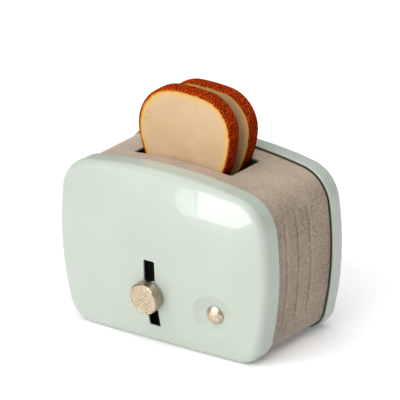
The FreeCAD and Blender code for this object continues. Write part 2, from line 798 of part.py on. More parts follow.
knob_soft = rounded("knob_soft", knob_blank, round_edge, size("knob_edge"))
KNOB_FLOOR = "knob_stand + knob_depth - knob_hollow"
knob_face = disc("knob_face", "knob_radius - knob_rim", "knob_hollow", z=KNOB_FLOOR)
knob_bore = disc("knob_bore", BORE, "stem_grip + fit", z="knob_stand")
along_lever("lever_knob", cut("knob_solid", cut("knob_recessed", knob_soft, knob_face), knob_bore))
stem = disc("stem_rod", "stem_radius", "stem_tail + knob_stand + stem_grip", z="-stem_tail")
along_lever("lever_stem", rounded("stem_solid", stem, round_edge, size("stem_radius") / 4))
along_lever("outer_slide_washer", ring("outer_ring", "washer_radius", BORE, "washer_depth", "washer_stand"))
along_lever("inner_slide_washer", ring("inner_ring", "slider_radius", BORE, "slider_depth", SLIDER_Z))
SPRING = {"Radius1": f"{BORE} + spring_wall", "Radius2": "slider_radius", "Height": "spring_depth"}
spring_cone = bound("Cone", "spring_cone", z=SPRING_Z, **SPRING)
spring_room = bound("Cone", "spring_room", z=f"{SPRING_Z} + spring_wall", **SPRING)
spring_bore = disc("spring_bore", BORE, "spring_depth", z=SPRING_Z)
along_lever("spring_washer", cut("spring_solid", cut("spring_dished", spring_cone, spring_room), spring_bore))
COLLAR_Z = f"{SPRING_Z} - collar_depth"
along_lever("stem_collar", ring("collar_ring", "collar_radius", BORE, "collar_depth", COLLAR_Z))

# Stud riveted into the dish, with its washer inside the cover

head_ball = doc.addObject("Part::Sphere", "stud_ball")
bind(head_ball, "Radius", "(stud_radius * stud_radius + stud_rise * stud_rise) / (2 * stud_rise)")
head_drop = "(stud_radius * stud_radius - stud_rise * stud_rise) / (2 * stud_rise)"
bind(head_ball, "Placement.Base.z", f"stud_stand - {head_drop}")
head_block = disc("stud_head_block", "stud_radius + fit", "stud_rise", z="stud_stand")
head = shared("stud_head", head_ball, head_block)
shank = disc("stud_shank", "shank_radius", "shank_length + stud_stand", z="-shank_length")
sub_part("dish_stud", placed(joined("stud_solid", head, shank), dish_place))
washer = ring("stud_ring", "clip_radius", "shank_radius + fit", "clip_depth", "-(clip_stand + clip_depth)")
sub_part("stud_washer", placed(washer, dish_place))

# Slices of bread


def slice_of_bread(label, back_y, names):
    """Slice with round edges that stands on the tray; back_y is its rear face, and names its outline."""
    blank = outline_pad(f"{label}_blank", back_y, "bread_depth", FLUSH, names=names)
    sketch = doc.getObject(f"{label}_blank_outline")
    bind(sketch, "AttachmentOffset.Base.x", BREAD_X)
    bind(sketch, "AttachmentOffset.Base.y", BREAD_LOW)
    sub_part(label, rounded(f"{label}_solid", blank, lambda edge: not along_y(edge), size("bread_edge")))


slice_of_bread("front_bread_slice", "-(bread_pitch - bread_depth) / 2", BREAD)
slice_of_bread("rear_bread_slice", "(bread_pitch + bread_depth) / 2", REAR_BREAD)

# Stand the toy over the origin

doc.recompute()
knob_front = parts["lever_knob"].Shape.optimalBoundingBox(False, False).YMin
cover_back = parts["back_cover"].Shape.optimalBoundingBox(False, False).YMax
over_origin = Placement(Vector(0, -(knob_front + cover_back) / 2, 0), Rotation())
for thing in parts.values():
    thing.Placement = over_origin * thing.Placement

# Write the sub-parts

doc.recompute()
failed = [thing.Name for thing in doc.Objects if {"Invalid", "Error"} & set(thing.State)]
failed += [label for label, thing in parts.items() if thing.Shape.isNull() or not thing.Shape.isValid()]
if failed:
    raise RuntimeError(f"these objects did not build: {failed}")
os.makedirs("parts", exist_ok=True)
for label, thing in parts.items():
    thing.Shape.exportStep(f"parts/{label}.step")
print(f"{len(parts)} sub-parts written")
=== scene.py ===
"""Looks of the toy toaster: enamelled covers, speckled sleeve, turned knob and stud, and toasted bread."""

import json
import logging
import math
from dataclasses import dataclass, field
from enum import Enum

import bpy
import numpy as np
from mathutils import Matrix, Vector


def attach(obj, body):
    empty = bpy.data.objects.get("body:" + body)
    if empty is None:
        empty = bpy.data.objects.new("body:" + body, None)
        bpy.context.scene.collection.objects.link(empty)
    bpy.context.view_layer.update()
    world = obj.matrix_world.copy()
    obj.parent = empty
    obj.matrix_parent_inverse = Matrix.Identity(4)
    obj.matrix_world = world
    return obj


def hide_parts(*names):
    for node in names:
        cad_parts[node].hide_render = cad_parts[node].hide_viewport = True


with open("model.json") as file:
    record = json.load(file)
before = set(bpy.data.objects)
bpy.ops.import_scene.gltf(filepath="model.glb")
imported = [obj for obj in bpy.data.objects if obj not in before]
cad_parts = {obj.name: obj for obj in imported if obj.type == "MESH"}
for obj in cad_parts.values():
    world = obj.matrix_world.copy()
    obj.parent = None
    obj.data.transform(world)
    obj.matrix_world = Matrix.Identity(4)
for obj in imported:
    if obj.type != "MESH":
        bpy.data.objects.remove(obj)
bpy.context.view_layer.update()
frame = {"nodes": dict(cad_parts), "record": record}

# Millimetres in metres, and how finely points are told apart when they are welded, in steps per millimetre.
MM = 0.001
WELD_STEPS = 1e4
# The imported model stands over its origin; this is where the sleeve's middle lies then, in millimetres.
OVER_ORIGIN = np.array([0.0, 2.1863, 0.0])
Points = np.ndarray
Colour = tuple[float, float, float]
Feed = bpy.types.NodeSocket | float | Colour
log = logging.getLogger("toy_toaster")


class Side(Enum):
    """The end of the toaster that a cover closes; the value is the sign of its outward Y."""

    FRONT = -1
    BACK = 1


class Body(Enum):
    """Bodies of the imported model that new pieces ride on."""

    CASE = "toaster_body"
    LEVER = "lever"
    FRONT_SLICE = "front_slice"
    REAR_SLICE = "rear_slice"


# Meshes


def grid_quads(rows: int, columns: int, wrap_rows: bool, wrap_columns: bool) -> np.ndarray:
    """Number the quads of a grid of points.

    Args:
        rows: Points along the first parameter.
        columns: Points along the second parameter.
        wrap_rows: Whether the last row joins the first.
        wrap_columns: Whether the last column joins the first.

    Returns:
        One row of four point numbers for each quad.
    """
    i = np.arange(rows if wrap_rows else rows - 1)
    j = np.arange(columns if wrap_columns else columns - 1)
    a, b = np.meshgrid(i, j, indexing="ij")
    c = (a + 1) % rows
    d = (b + 1) % columns
    corners = [a * columns + b, c * columns + b, c * columns + d, a * columns + d]
    return np.stack(corners, axis=-1).reshape(-1, 4)


def weld(points: Points, quads: np.ndarray) -> tuple[Points, np.ndarray, list[list[int]]]:
    """Merge points that coincide, drop points that no face uses, and turn pinched quads into triangles.

    Args:
        points: All points, one row each, in millimetres.
        quads: Point numbers of the quads.

    Returns:
        The kept points, the number of the original point that each comes from, and the faces.
    """
    used = np.unique(quads)
    keys = np.round(points[used] * WELD_STEPS).astype(np.int64)
    _, first, inverse = np.unique(keys, axis=0, return_index=True, return_inverse=True)
    lookup = np.zeros(len(points), np.int64)
    lookup[used] = inverse.ravel()
    quads = lookup[quads]
    same = quads == np.roll(quads, -1, axis=1)
    whole = quads[~same.any(axis=1)]
    pinched = same.sum(axis=1) == 1
    keep = np.ones((int(pinched.sum()), 4), bool)
    keep[np.arange(len(keep)), same[pinched].argmax(axis=1)] = False
    triangles = quads[pinched][keep].reshape(-1, 3)
    return points[used[first]], used[first], whole.tolist() + triangles.tolist()


def faces_inwards(points: Points, quads: np.ndarray) -> bool:
    """Whether a closed mesh's faces point inwards: a . (b x c), summed over its triangles, is negative.

    Args:
        points: The points in millimetres.
        quads: Point numbers of the quads; the empty half of a pinched quad adds nothing.

    Returns:
        True where the faces point inwards.
    """
    a, b, c, d = (points[quads[:, n]] for n in range(4))
    first = np.einsum("ij,ij->i", a, np.cross(b, c)).sum()
    second = np.einsum("ij,ij->i", a, np.cross(c, d)).sum()
    return bool(first + second < 0)


def placed(name: str, data: bpy.types.ID) -> bpy.types.Object:
    """Make an object of a mesh, a light or a camera, and link it to the scene.

    Args:
        name: Name of the object.
        data: Its mesh, light or camera.

    Returns:
        The new object.
    """
    item = bpy.data.objects.new(name, data)
    bpy.context.scene.collection.objects.link(item)
    return item


def make_piece(
    name: str,
    points: Points,
    quads: np.ndarray,
    layers: dict[str, np.ndarray] | None = None,
    closed: bool = True,
    sharp: float | None = None,
) -> bpy.types.Object:
    """Make a smooth mesh object whose place is in its mesh.

    Args:
        name: Name of the piece.
        points: All points, one row each, in millimetres from the middle of the sleeve's foot.
        quads: Point numbers of the quads.
        layers: Values kept on the points for the finishes to read.
        closed: Whether the mesh encloses a volume, so that its faces can be turned outwards.
        sharp: Angle in degrees over which an edge stays sharp.

    Returns:
        The new object.
    """
    if closed and faces_inwards(points, quads):
        quads = quads[:, ::-1]
    kept, source, faces = weld(points, quads)
    mesh = bpy.data.meshes.new(name)
    mesh.from_pydata(((kept + OVER_ORIGIN) * MM).tolist(), [], faces)
    mesh.polygons.foreach_set("use_smooth", np.ones(len(faces), bool))
    for layer, values in (layers or {}).items():
        attribute = mesh.attributes.new(layer, "FLOAT", "POINT")
        attribute.data.foreach_set("value", np.asarray(values, np.float32).ravel()[source])
    if sharp is not None:
        mesh.set_sharp_from_angle(angle=math.radians(sharp))
    mesh.update()
    return placed(name, mesh)


def seat(piece: bpy.types.Object, node: str, body: Body) -> bpy.types.Object:
    """Put a piece in a CAD node's stead.

    Args:
        piece: The piece.
        node: The node that it stands for.
        body: The body that it rides on.

    Returns:
        The piece.
    """
    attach(piece, body.value)
    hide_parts(node)
    return piece


def dress(piece: bpy.types.Object, material: bpy.types.Material) -> None:
    """Give a piece or a CAD node its only material."""
    piece.data.materials.clear()
    piece.data.materials.append(material)


# Outlines


@dataclass(frozen=True)
class Outline:
    """Flat foot, bulged sides, arched top and four round corners, seen from the front, in millimetres."""

    width: float = 66.0
    height: float = 47.4
    side_arc: float = 81.0
    side_mid: float = 26.0
    top_arc: float = 138.0
    corner_low: float = 7.2
    corner_left: float = 10.3
    corner_right: float = 10.3

    def pieces(self, inset: float) -> list[tuple[Points, float, float, float]]:
        """List the arcs of the outline, moved inwards by an inset.

        Args:
            inset: Distance by which the outline is moved inwards.

        Returns:
            Centre, radius and the two angles of each arc, anticlockwise from the right end of the foot.
        """
        side_r = self.side_arc - inset
        low_r = self.corner_low - inset
        side = np.array([self.width / 2 - self.side_arc, self.side_mid])
        top = np.array([0.0, self.height - self.top_arc])
        drop = side[1] - self.corner_low
        low = np.array([side[0] + math.sqrt((side_r - low_r) ** 2 - drop**2), self.corner_low])
        right = self.upper_corner(side, top, self.corner_right)
        left = self.upper_corner(side, top, self.corner_left)
        turn_low = math.atan2(*(low - side)[::-1])
        right_turn = math.atan2(*(right - side)[::-1])
        left_turn = math.atan2(*(left - side)[::-1])
        top_start = math.atan2(*(right - top)[::-1])
        top_end = math.pi - math.atan2(*(left - top)[::-1])
        flip = np.array([-1.0, 1.0])
        return [
            (low, low_r, -math.pi / 2, turn_low),
            (side, side_r, turn_low, right_turn),
            (right, self.corner_right - inset, right_turn, top_start),
            (top, self.top_arc - inset, top_start, top_end),
            (left * flip, self.corner_left - inset, top_end, math.pi - left_turn),
            (side * flip, side_r, math.pi - left_turn, math.pi - turn_low),
            (low * flip, low_r, math.pi - turn_low, 1.5 * math.pi),
        ]

    def upper_corner(self, side: np.ndarray, top: np.ndarray, radius: float) -> np.ndarray:
        """Centre of an upper corner on the right, whose arc touches the side's arc and the top's from inside.

        It lies where two circles cross, one about each arc's centre, each smaller than its arc by the radius.

        Args:
            side: Centre of the side's arc.
            top: Centre of the top's arc.
            radius: Radius of the corner.

        Returns:
            The centre as x, z.
        """
        side_reach, top_reach = self.side_arc - radius, self.top_arc - radius
        step = top - side
        gap = float(np.hypot(*step))
        along = (side_reach**2 - top_reach**2 + gap**2) / (2 * gap)
        across = math.sqrt(side_reach**2 - along**2)
        unit = step / gap
        return side + unit * along + np.array([-unit[1], unit[0]]) * across

    def ring(self, share: np.ndarray, inset: float = 0.0) -> tuple[Points, Points]:
        """Points of the outline at shares of its length.

        Each arc is centre + radius * (cos, sin); the foot is the straight line between the two lower arcs.

        Args:
            share: Shares of the length, from 0 at the middle of the foot, anticlockwise.
            inset: Distance by which the outline is moved inwards.

        Returns:
            The points as x, z, and the unit normals that point outwards.
        """
        arcs = self.pieces(inset)
        half_foot = arcs[0][0][0]
        plain = self.pieces(0.0)
        lengths = np.array([plain[0][0][0], *(r * (b - a) for _, r, a, b in plain), plain[0][0][0]])
        ends = np.concatenate([[0.0], np.cumsum(lengths)])
        place = np.asarray(share) % 1.0 * ends[-1]
        last = len(lengths) - 1
        index = np.clip(np.searchsorted(ends, place, side="right") - 1, 0, last)
        part = (place - ends[index]) / lengths[index]
        centres = np.array([[0.0, inset], *(c for c, _, _, _ in arcs), [0.0, inset]])
        radii = np.array([0.0, *(r for _, r, _, _ in arcs), 0.0])
        starts = np.array([-math.pi / 2, *(a for _, _, a, _ in arcs), -math.pi / 2])
        stops = np.array([-math.pi / 2, *(b for _, _, _, b in arcs), -math.pi / 2])
        angle = starts[index] + part * (stops - starts)[index]
        normal = np.stack([np.cos(angle), np.sin(angle)], axis=-1)
        points = centres[index] + radii[index][:, None] * normal
        left_foot = np.where(index == last, (part - 1) * half_foot, 0.0)
        points[:, 0] += np.where(index == 0, part * half_foot, left_foot)
        return points, normal


@dataclass(frozen=True)
class Slot:
    """Upright rounded rectangle in the front cover, in millimetres."""

    x: float = -1.3
    z: float = 14.65
    width: float = 3.4
    length: float = 18.7
    corner: float = 0.4
    corner_extra: float = 0.25

    def ring(self, share: np.ndarray, grow: float = 0.0) -> Points:
        """Points of the slot's edge at shares of its length.

        Each corner counts for a little more than its length, so that enough points go round it.

        Args:
            share: Shares of the length, from 0 at the middle of the lower end, anticlockwise.
            grow: Distance by which the edge is moved outwards.

        Returns:
            The points as x, z.
        """
        half = np.array([self.width / 2 - self.corner, self.length / 2 - self.corner])
        radius = self.corner + grow
        turn = (self.corner + self.corner_extra) * math.pi / 2
        runs = np.array([half[0], turn, 2 * half[1], turn, 2 * half[0], turn, 2 * half[1], turn, half[0]])
        ends = np.concatenate([[0.0], np.cumsum(runs)])
        place = np.asarray(share) % 1.0 * ends[-1]
        knots = np.array([0.0, 0, 1, 1, 2, 2, 3, 3, 4, 4]) * math.pi / 2 - math.pi / 2
        angle = np.interp(place, ends, knots)
        corner_x = np.interp(place, ends, np.array([0.0, 1, 1, 1, 1, -1, -1, -1, -1, 0]) * half[0])
        corner_z = np.interp(place, ends, np.array([-1.0, -1, -1, 1, 1, 1, 1, -1, -1, -1]) * half[1])
        out = np.stack([np.cos(angle), np.sin(angle)], axis=-1) * radius
        return np.stack([self.x + corner_x, self.z + corner_z], axis=-1) + out


@dataclass(frozen=True)
class Dish:
    """Shallow round dish pressed into the front cover, in millimetres."""

    x: float = 17.5
    z: float = 12.3
    radius: float = 5.9
    depth: float = 1.6
    soft: float = 1.0

    def ball(self) -> float:
        """Radius of the ball that presses the dish."""
        return (self.radius**2 + self.depth**2) / (2 * self.depth)

    def drop(self, reach: np.ndarray) -> np.ndarray:
        """Depth of the dish under the face.

        Inside it is the ball's cap; round the rim a circle of the soft radius touches both cap and face.

        Args:
            reach: Distance from the dish's axis.

        Returns:
            The depth, zero outside the rim.
        """
        ball = self.ball()
        high = ball - self.depth
        rim = math.sqrt((ball + self.soft) ** 2 - (high + self.soft) ** 2)
        meet = rim * ball / (ball + self.soft)
        cap = np.sqrt(np.maximum(ball**2 - reach**2, 0.0)) - high
        round_off = self.soft - np.sqrt(np.maximum(self.soft**2 - (rim - reach) ** 2, 0.0))
        return np.where(reach < meet, cap, np.where(reach < rim, round_off, 0.0))


def turned_to(axis: np.ndarray) -> np.ndarray:
    """Rotation that takes +Z to an axis by the shortest turn.

    Args:
        axis: Unit vector.

    Returns:
        The 3 by 3 matrix.
    """
    return np.array(Vector((0, 0, 1)).rotation_difference(Vector(axis)).to_matrix())


@dataclass
class Cover:
    """Pressed and enamelled cover: skirt, round edge and domed face, with a slot and a dish in front."""

    side: Side
    node: str
    outline: Outline = field(default_factory=Outline)
    slot: Slot | None = None
    dish: Dish | None = None
    body_depth: float = 23.4
    skirt: float = 5.85
    wall: float = 0.6
    dome_rise: float = 4.0
    edge_round: float = 2.4
    lip_round: float = 0.2
    around: int = 512
    face_rings: int = 104
    edge_steps: int = 11
    skirt_steps: int = 7
    lip_steps: int = 4
    lip_grow: tuple[float, ...] = (0.0, 0.03, 0.08, 0.16)
    contact_rounds: int = 4
    sharp: float = 50.0

    def rise(self, x: np.ndarray, z: np.ndarray) -> np.ndarray:
        """Height of the face over its rim: rise * (1 - (x/a)^2) * (1 - (z/b)^2) about the cover's middle.

        Args:
            x: Across the face.
            z: Up the face, from the foot.

        Returns:
            The heights.
        """
        half_w = self.outline.width / 2
        half_h = self.outline.height / 2
        return self.dome_rise * (1 - (x / half_w) ** 2) * (1 - (z / half_h - 1) ** 2)

    def slope(self, x: np.ndarray, z: np.ndarray) -> Points:
        """Gradient of the face's height.

        Args:
            x: Across the face.
            z: Up the face, from the foot.

        Returns:
            The two slopes, across and up.
        """
        half_w = self.outline.width / 2
        half_h = self.outline.height / 2
        across = -2 * self.dome_rise * x / half_w**2 * (1 - (z / half_h - 1) ** 2)
        up = -2 * self.dome_rise * (z / half_h - 1) / half_h * (1 - (x / half_w) ** 2)
        return np.stack([across, up], axis=-1)

    def normal(self, x: float, z: float) -> np.ndarray:
        """Outward normal of the face at a point: (-slope across, side, -slope up), made a unit long.

        Args:
            x: Across the face.
            z: Up the face, from the foot.

        Returns:
            The normal as x, y, z.
        """
        across, up = self.slope(np.array(x), np.array(z))
        out = np.array([-across, self.side.value, -up])
        return out / np.linalg.norm(out)

    def place(self, flat: Points, height: np.ndarray) -> Points:
        """Points from their x, z and their height over the face's rim."""
        y = self.side.value * (self.body_depth / 2 + self.skirt + height)
        return np.stack([flat[:, 0], y, flat[:, 1]], axis=-1)

    def face_point(self, x: float, z: float) -> np.ndarray:
        """Point of the outer face at x, z."""
        return self.place(np.array([[x, z]]), self.rise(np.array([x]), np.array([z])))[0]

    def shell(self, inset: float) -> list[Points]:
        """Rings of the outer or the inner surface, from the middle of the face to the open end.

        The round edge is a rolling ball's arc: its centre lies one radius in from the skirt and one radius
        under the face's tangent at the contact, which a few rounds find. Inwards of the contact the rings run
        straight to the slot or the pole.

        Args:
            inset: Distance of the surface under the outer one.

        Returns:
            One ring of points for each step.
        """
        share = np.arange(self.around) / self.around
        edge, out = self.outline.ring(share, inset)
        radius = self.edge_round - inset
        contact = edge - out * radius
        for _ in range(self.contact_rounds):
            lean = -np.einsum("ij,ij->i", self.slope(*contact.T), out)
            alpha = np.arctan(lean)
            contact = edge - out * (radius * (1 - np.sin(alpha)))[:, None]
        low = self.rise(*contact.T) - radius * np.cos(alpha)
        rings = self.face_rings_between(contact, share, inset)
        for part in np.linspace(0, 1, self.edge_steps)[1:]:
            turn = (1 - part) * (math.pi / 2 - alpha)
            flat = edge - out * (radius * (1 - np.cos(turn)))[:, None]
            rings.append(self.place(flat, low + radius * np.sin(turn) - inset))
        foot = -self.skirt + (self.lip_round if inset == 0 else 0.0)
        for part in np.linspace(0, 1, self.skirt_steps)[1:]:
            rings.append(self.place(edge, (low - inset) * (1 - part) + foot * part))
        return rings

    def face_rings_between(self, contact: Points, share: np.ndarray, inset: float) -> list[Points]:
        """Rings of the face from the slot's edge, or the middle, out to the round edge.

        The slot's outer edge is a circle's quarter that sinks from the face by r - sqrt(r^2 - (r - grow)^2).

        Args:
            contact: Ring where the round edge starts.
            share: Shares of the ring's length.
            inset: Distance of the surface under the outer one.

        Returns:
            The rings; the dish is pressed in along the face's normal at its middle.
        """
        outer = inset == 0
        inner = np.zeros_like(contact) + [0.0, self.outline.height / 2]
        rings = []
        if self.slot and outer:
            for grow in self.lip_grow:
                flat = self.slot.ring(share, grow)
                sink = self.lip_round - math.sqrt(self.lip_round**2 - (self.lip_round - grow) ** 2)
                rings.append(self.place(flat, self.rise(*flat.T) - sink))
        if self.slot:
            inner = self.slot.ring(share, self.lip_round if outer else 0.0)
        for part in np.linspace(0, 1, self.face_rings if outer else self.face_rings // 4):
            flat = inner * (1 - part) + contact * part
            rings.append(self.press(self.place(flat, self.rise(*flat.T) - inset)))
        return rings

    def press(self, points: Points) -> Points:
        """Press the dish into points of the face.

        Args:
            points: Points of the outer or the inner face.

        Returns:
            The points, moved inwards along the dish's axis by its depth there.
        """
        if not self.dish:
            return points
        axis = self.normal(self.dish.x, self.dish.z)
        offset = points - self.face_point(self.dish.x, self.dish.z)
        reach = np.linalg.norm(offset - np.outer(offset @ axis, axis), axis=-1)
        return points - np.outer(self.dish.drop(reach), axis)

    def build(self) -> bpy.types.Object:
        """Build the cover as one closed shell.

        The outer rings run to the open end, round its rolled lip and back along the inner wall. At a slot the
        two ends of the grid meet in its wall; without one both close in a pole.

        Returns:
            The cover.
        """
        outer = self.shell(0.0)
        inner = self.shell(self.wall)
        share = np.arange(self.around) / self.around
        lip = []
        for angle in np.linspace(0, math.pi / 2, self.lip_steps)[1:]:
            flat, _ = self.outline.ring(share, self.lip_round * (1 - math.cos(angle)))
            height = np.full(self.around, -self.skirt + self.lip_round * (1 - math.sin(angle)))
            lip.append(self.place(flat, height))
        rings = np.array(outer + lip + inner[::-1])
        quads = grid_quads(len(rings), self.around, self.slot is not None, True)
        # Marks the inner wall, which the enamel colours near black: partly a dark undercoat, partly painted
        # shade in the gaps and the slot.
        layers = {"inside": np.repeat(np.arange(len(rings)) >= len(outer) + len(lip), self.around)}
        name = f"{self.node}_shell"
        piece = make_piece(name, rings.reshape(-1, 3), quads, layers, sharp=self.sharp)
        return seat(piece, self.node, Body.CASE)


@dataclass
class Sleeve:
    """Bent strip between the covers, with the bread mouth and three pressed grooves at each side."""

    outline: Outline = field(default_factory=Outline)
    inset: float = 0.85
    wall: float = 0.6
    half_depth: float = 14.7
    flange_end: float = 18.0
    mouth_x: float = -1.35
    mouth_length: float = 31.1
    mouth_width: float = 12.9
    mouth_corner: float = 0.8
    groove_mid: float = -2.35
    groove_pitch: float = 5.15
    groove_width: float = 1.1
    groove_depth: float = 0.35
    groove_low: float = 9.5
    groove_high: float = 38.3
    light_shift: float = 0.75
    side_from: float = 25.0
    foot_top: float = 5.0
    samples: int = 20001
    side_steps: int = 150
    fine_steps: int = 17
    middle_steps: int = 40
    fine_share: float = 0.006
    fine_reach: float = 1.2
    outer_lines: int = 14
    mouth_lines: int = 97

    def groove(self, points: Points) -> np.ndarray:
        """Depth of the pressed grooves at points of the strip.

        Across, each groove is a cap depth * (1 - (u/half)^2) clipped at zero; its ends are round.

        Args:
            points: Points of the strip's outer surface.

        Returns:
            The depth inwards.
        """
        half = self.groove_width / 2
        nearest = np.clip(np.round((points[..., 1] - self.groove_mid) / self.groove_pitch), -1, 1)
        u = points[..., 1] - self.groove_mid - nearest * self.groove_pitch
        above = np.maximum(points[..., 2] - self.groove_high, 0)
        below = np.maximum(self.groove_low - points[..., 2], 0)
        lateral = np.abs(points[..., 0]) > self.side_from
        across = np.sqrt(u**2 + (above + below) ** 2) / half
        return self.groove_depth * np.clip(1 - across**2, 0, 1) * lateral

    def shares(self) -> np.ndarray:
        """Shares of the outline's length for the grid, close together near the mouth's two ends.

        Returns:
            The shares, from the right end of the foot's opening to the left one.
        """
        dense = np.linspace(0, 1, self.samples)
        ring, _ = self.outline.ring(dense, self.inset)
        top = ring[:, 1] > self.outline.height / 2
        ends = [self.mouth_x + sign * self.mouth_length / 2 for sign in (1, -1)]
        right, left = [float(dense[top][np.argmin(np.abs(ring[top, 0] - x))]) for x in ends]
        off_foot = np.where(ring[:, 1] > self.foot_top, np.inf, 0.0)
        foot = float(dense[np.argmin(np.abs(ring[:, 0] - self.flange_end) + off_foot)])
        near = self.fine_share
        stretches = [
            (foot, right - near, self.side_steps),
            (right - near, right + near, self.fine_steps),
            (right + near, left - near, self.middle_steps),
            (left - near, left + near, self.fine_steps),
            (left + near, 1 - foot, self.side_steps),
        ]
        return np.unique(np.concatenate([np.linspace(*stretch) for stretch in stretches]))

    def lines(self) -> np.ndarray:
        """Places of the grid's lines along Y, the same on both sides, close together near the mouth's edges.

        Returns:
            The places in millimetres.
        """
        half, near = self.mouth_width / 2, self.fine_reach
        outer = np.linspace(-self.half_depth, -half - near, self.outer_lines)
        edge = np.linspace(-half - near, -half + near, self.fine_steps)
        middle = np.linspace(-half + near, half - near, self.mouth_lines)
        y = np.unique(np.round(np.concatenate([outer, edge, middle]), 5))
        return np.unique(np.concatenate([y, -y]))

    def build(self) -> bpy.types.Object:
        """Build the strip as a sheet with a rounded mouth, and give it its wall.

        The sheet is a grid of the outline's length by Y. Grid lines run along the mouth's four edges, the
        quads inside are left out, and the points near its corners move onto their round.

        Returns:
            The sleeve, with layers for the grooves' depth, used as painted shade, and for a painted highlight
            beside each.
        """
        share, y = self.shares(), self.lines()
        flat, normals = self.outline.ring(share, self.inset)
        columns = [
            np.repeat(flat[:, :1], len(y), axis=1),
            np.repeat(y[None, :], len(share), axis=0),
            np.repeat(flat[:, 1:], len(y), axis=1),
        ]
        grid = np.stack(columns, axis=-1)
        depth = self.groove(grid)
        # The grooves moved towards the back mark the wall that faces the light, for a painted highlight
        # beside each groove.
        lit = self.groove(grid - np.array([0.0, self.light_shift * self.groove_width, 0.0]))
        grid[..., 0] -= depth * normals[:, :1]
        grid[..., 2] -= depth * normals[:, 1:]
        quads = grid_quads(len(share), len(y), False, False)
        middle = grid.reshape(-1, 3)[quads].mean(axis=1)
        in_mouth = (np.abs(middle[:, 1]) < self.mouth_width / 2) & (middle[:, 2] > self.outline.height / 2)
        in_mouth &= np.abs(middle[:, 0] - self.mouth_x) < self.mouth_length / 2
        self.round_mouth(grid)
        layers = {"groove": depth / self.groove_depth, "groove_highlight": lit / self.groove_depth}
        sheet = quads[~in_mouth][:, ::-1]
        piece = make_piece("body_sleeve_strip", grid.reshape(-1, 3), sheet, layers, closed=False)
        solid = piece.modifiers.new("wall", "SOLIDIFY")
        solid.thickness = self.wall * MM
        solid.offset = -1.0
        return seat(piece, "body_sleeve", Body.CASE)

    def round_mouth(self, grid: Points) -> None:
        """Move the grid's points near the mouth's corners onto its round corners.

        A point's distance from the corner's centre becomes its larger coordinate there, and this fades out
        over one more corner radius.

        Args:
            grid: The grid, changed in place.
        """
        u = np.abs(grid[..., 0] - self.mouth_x) - self.mouth_length / 2 + self.mouth_corner
        v = np.abs(grid[..., 1]) - self.mouth_width / 2 + self.mouth_corner
        on_top = grid[..., 2] > self.outline.height / 2
        square = np.maximum(u, v)
        near = on_top & (u > 0) & (v > 0) & (square < 2 * self.mouth_corner)
        fade = np.clip(2 - square / self.mouth_corner, 0, 1)
        pull = 1 - (1 - square / np.maximum(np.hypot(u, v), 1e-9)) * fade
        scale = np.where(near, pull, 1.0)
        sign_x = np.sign(grid[..., 0] - self.mouth_x)
        sign_y = np.sign(grid[..., 1])
        grid[..., 0] -= np.where(near, sign_x * u * (1 - scale), 0.0)
        grid[..., 1] -= np.where(near, sign_y * v * (1 - scale), 0.0)


# Turned pieces


def arc_profile(
    centre: tuple[float, float], radius: float, start: float, stop: float, steps: int
) -> Points:
    """Points r, z on an arc of a profile: centre + radius * (cos, sin).

    Args:
        centre: Centre as r, z.
        radius: Radius of the arc.
        start: First angle in degrees, from +r towards +z.
        stop: Last angle in degrees.
        steps: Number of points.

    Returns:
        One row of r, z for each point.
    """
    angle = np.radians(np.linspace(start, stop, steps))
    return np.array(centre) + radius * np.stack([np.cos(angle), np.sin(angle)], axis=-1)


def refined(profile: Points, longest: float) -> Points:
    """Split the long steps of an open profile evenly.

    Args:
        profile: Rows of r, z.
        longest: Length that no step may exceed.

    Returns:
        The profile with more points.
    """
    step = np.linalg.norm(np.diff(profile, axis=0), axis=1)
    ends = np.concatenate([[0.0], np.cumsum(step)])
    counts = [max(2, math.ceil(length / longest) + 1) for length in step]
    place = np.unique(np.concatenate([np.linspace(*run) for run in zip(ends[:-1], ends[1:], counts)]))
    return np.stack([np.interp(place, ends, profile[:, k]) for k in range(2)], axis=-1)


@dataclass(frozen=True)
class Spindle:
    """Axis that turned pieces are made about: its foot and its unit direction."""

    foot: tuple[float, float, float]
    axis: tuple[float, float, float]

    @classmethod
    def on_face(cls, cover: Cover, x: float, z: float) -> "Spindle":
        """Spindle that stands square on a cover's face at x, z."""
        return cls(tuple(cover.face_point(x, z)), tuple(cover.normal(x, z)))

    def turn(
        self, name: str, profile: Points, around: int = 160, sharp: float = 40, ringed: bool = False
    ) -> bpy.types.Object:
        """Turn a profile about the axis: foot + turned (r cos t, r sin t, z).

        Args:
            name: Name of the piece.
            profile: Rows of r, z; it starts and ends on the axis, or is closed round a bore.
            around: Points round the axis.
            sharp: Angle in degrees over which an edge stays sharp.
            ringed: Whether the finish shows turned rings and a side darkened as painted shade.

        Returns:
            The piece.
        """
        angle = np.arange(around) / around * 2 * math.pi
        r, z = profile[:, :1], profile[:, 1:]
        local = np.stack([r * np.cos(angle), r * np.sin(angle), z + 0 * angle], axis=-1).reshape(-1, 3)
        points = np.array(self.foot) + local @ turned_to(np.array(self.axis)).T
        bored = float(profile[:, 0].min()) > 0
        quads = grid_quads(len(profile), around, bored, True)
        layers = {"radius": np.repeat(profile[:, 0], around)} if ringed else None
        return make_piece(name, points, quads, layers, sharp=sharp)




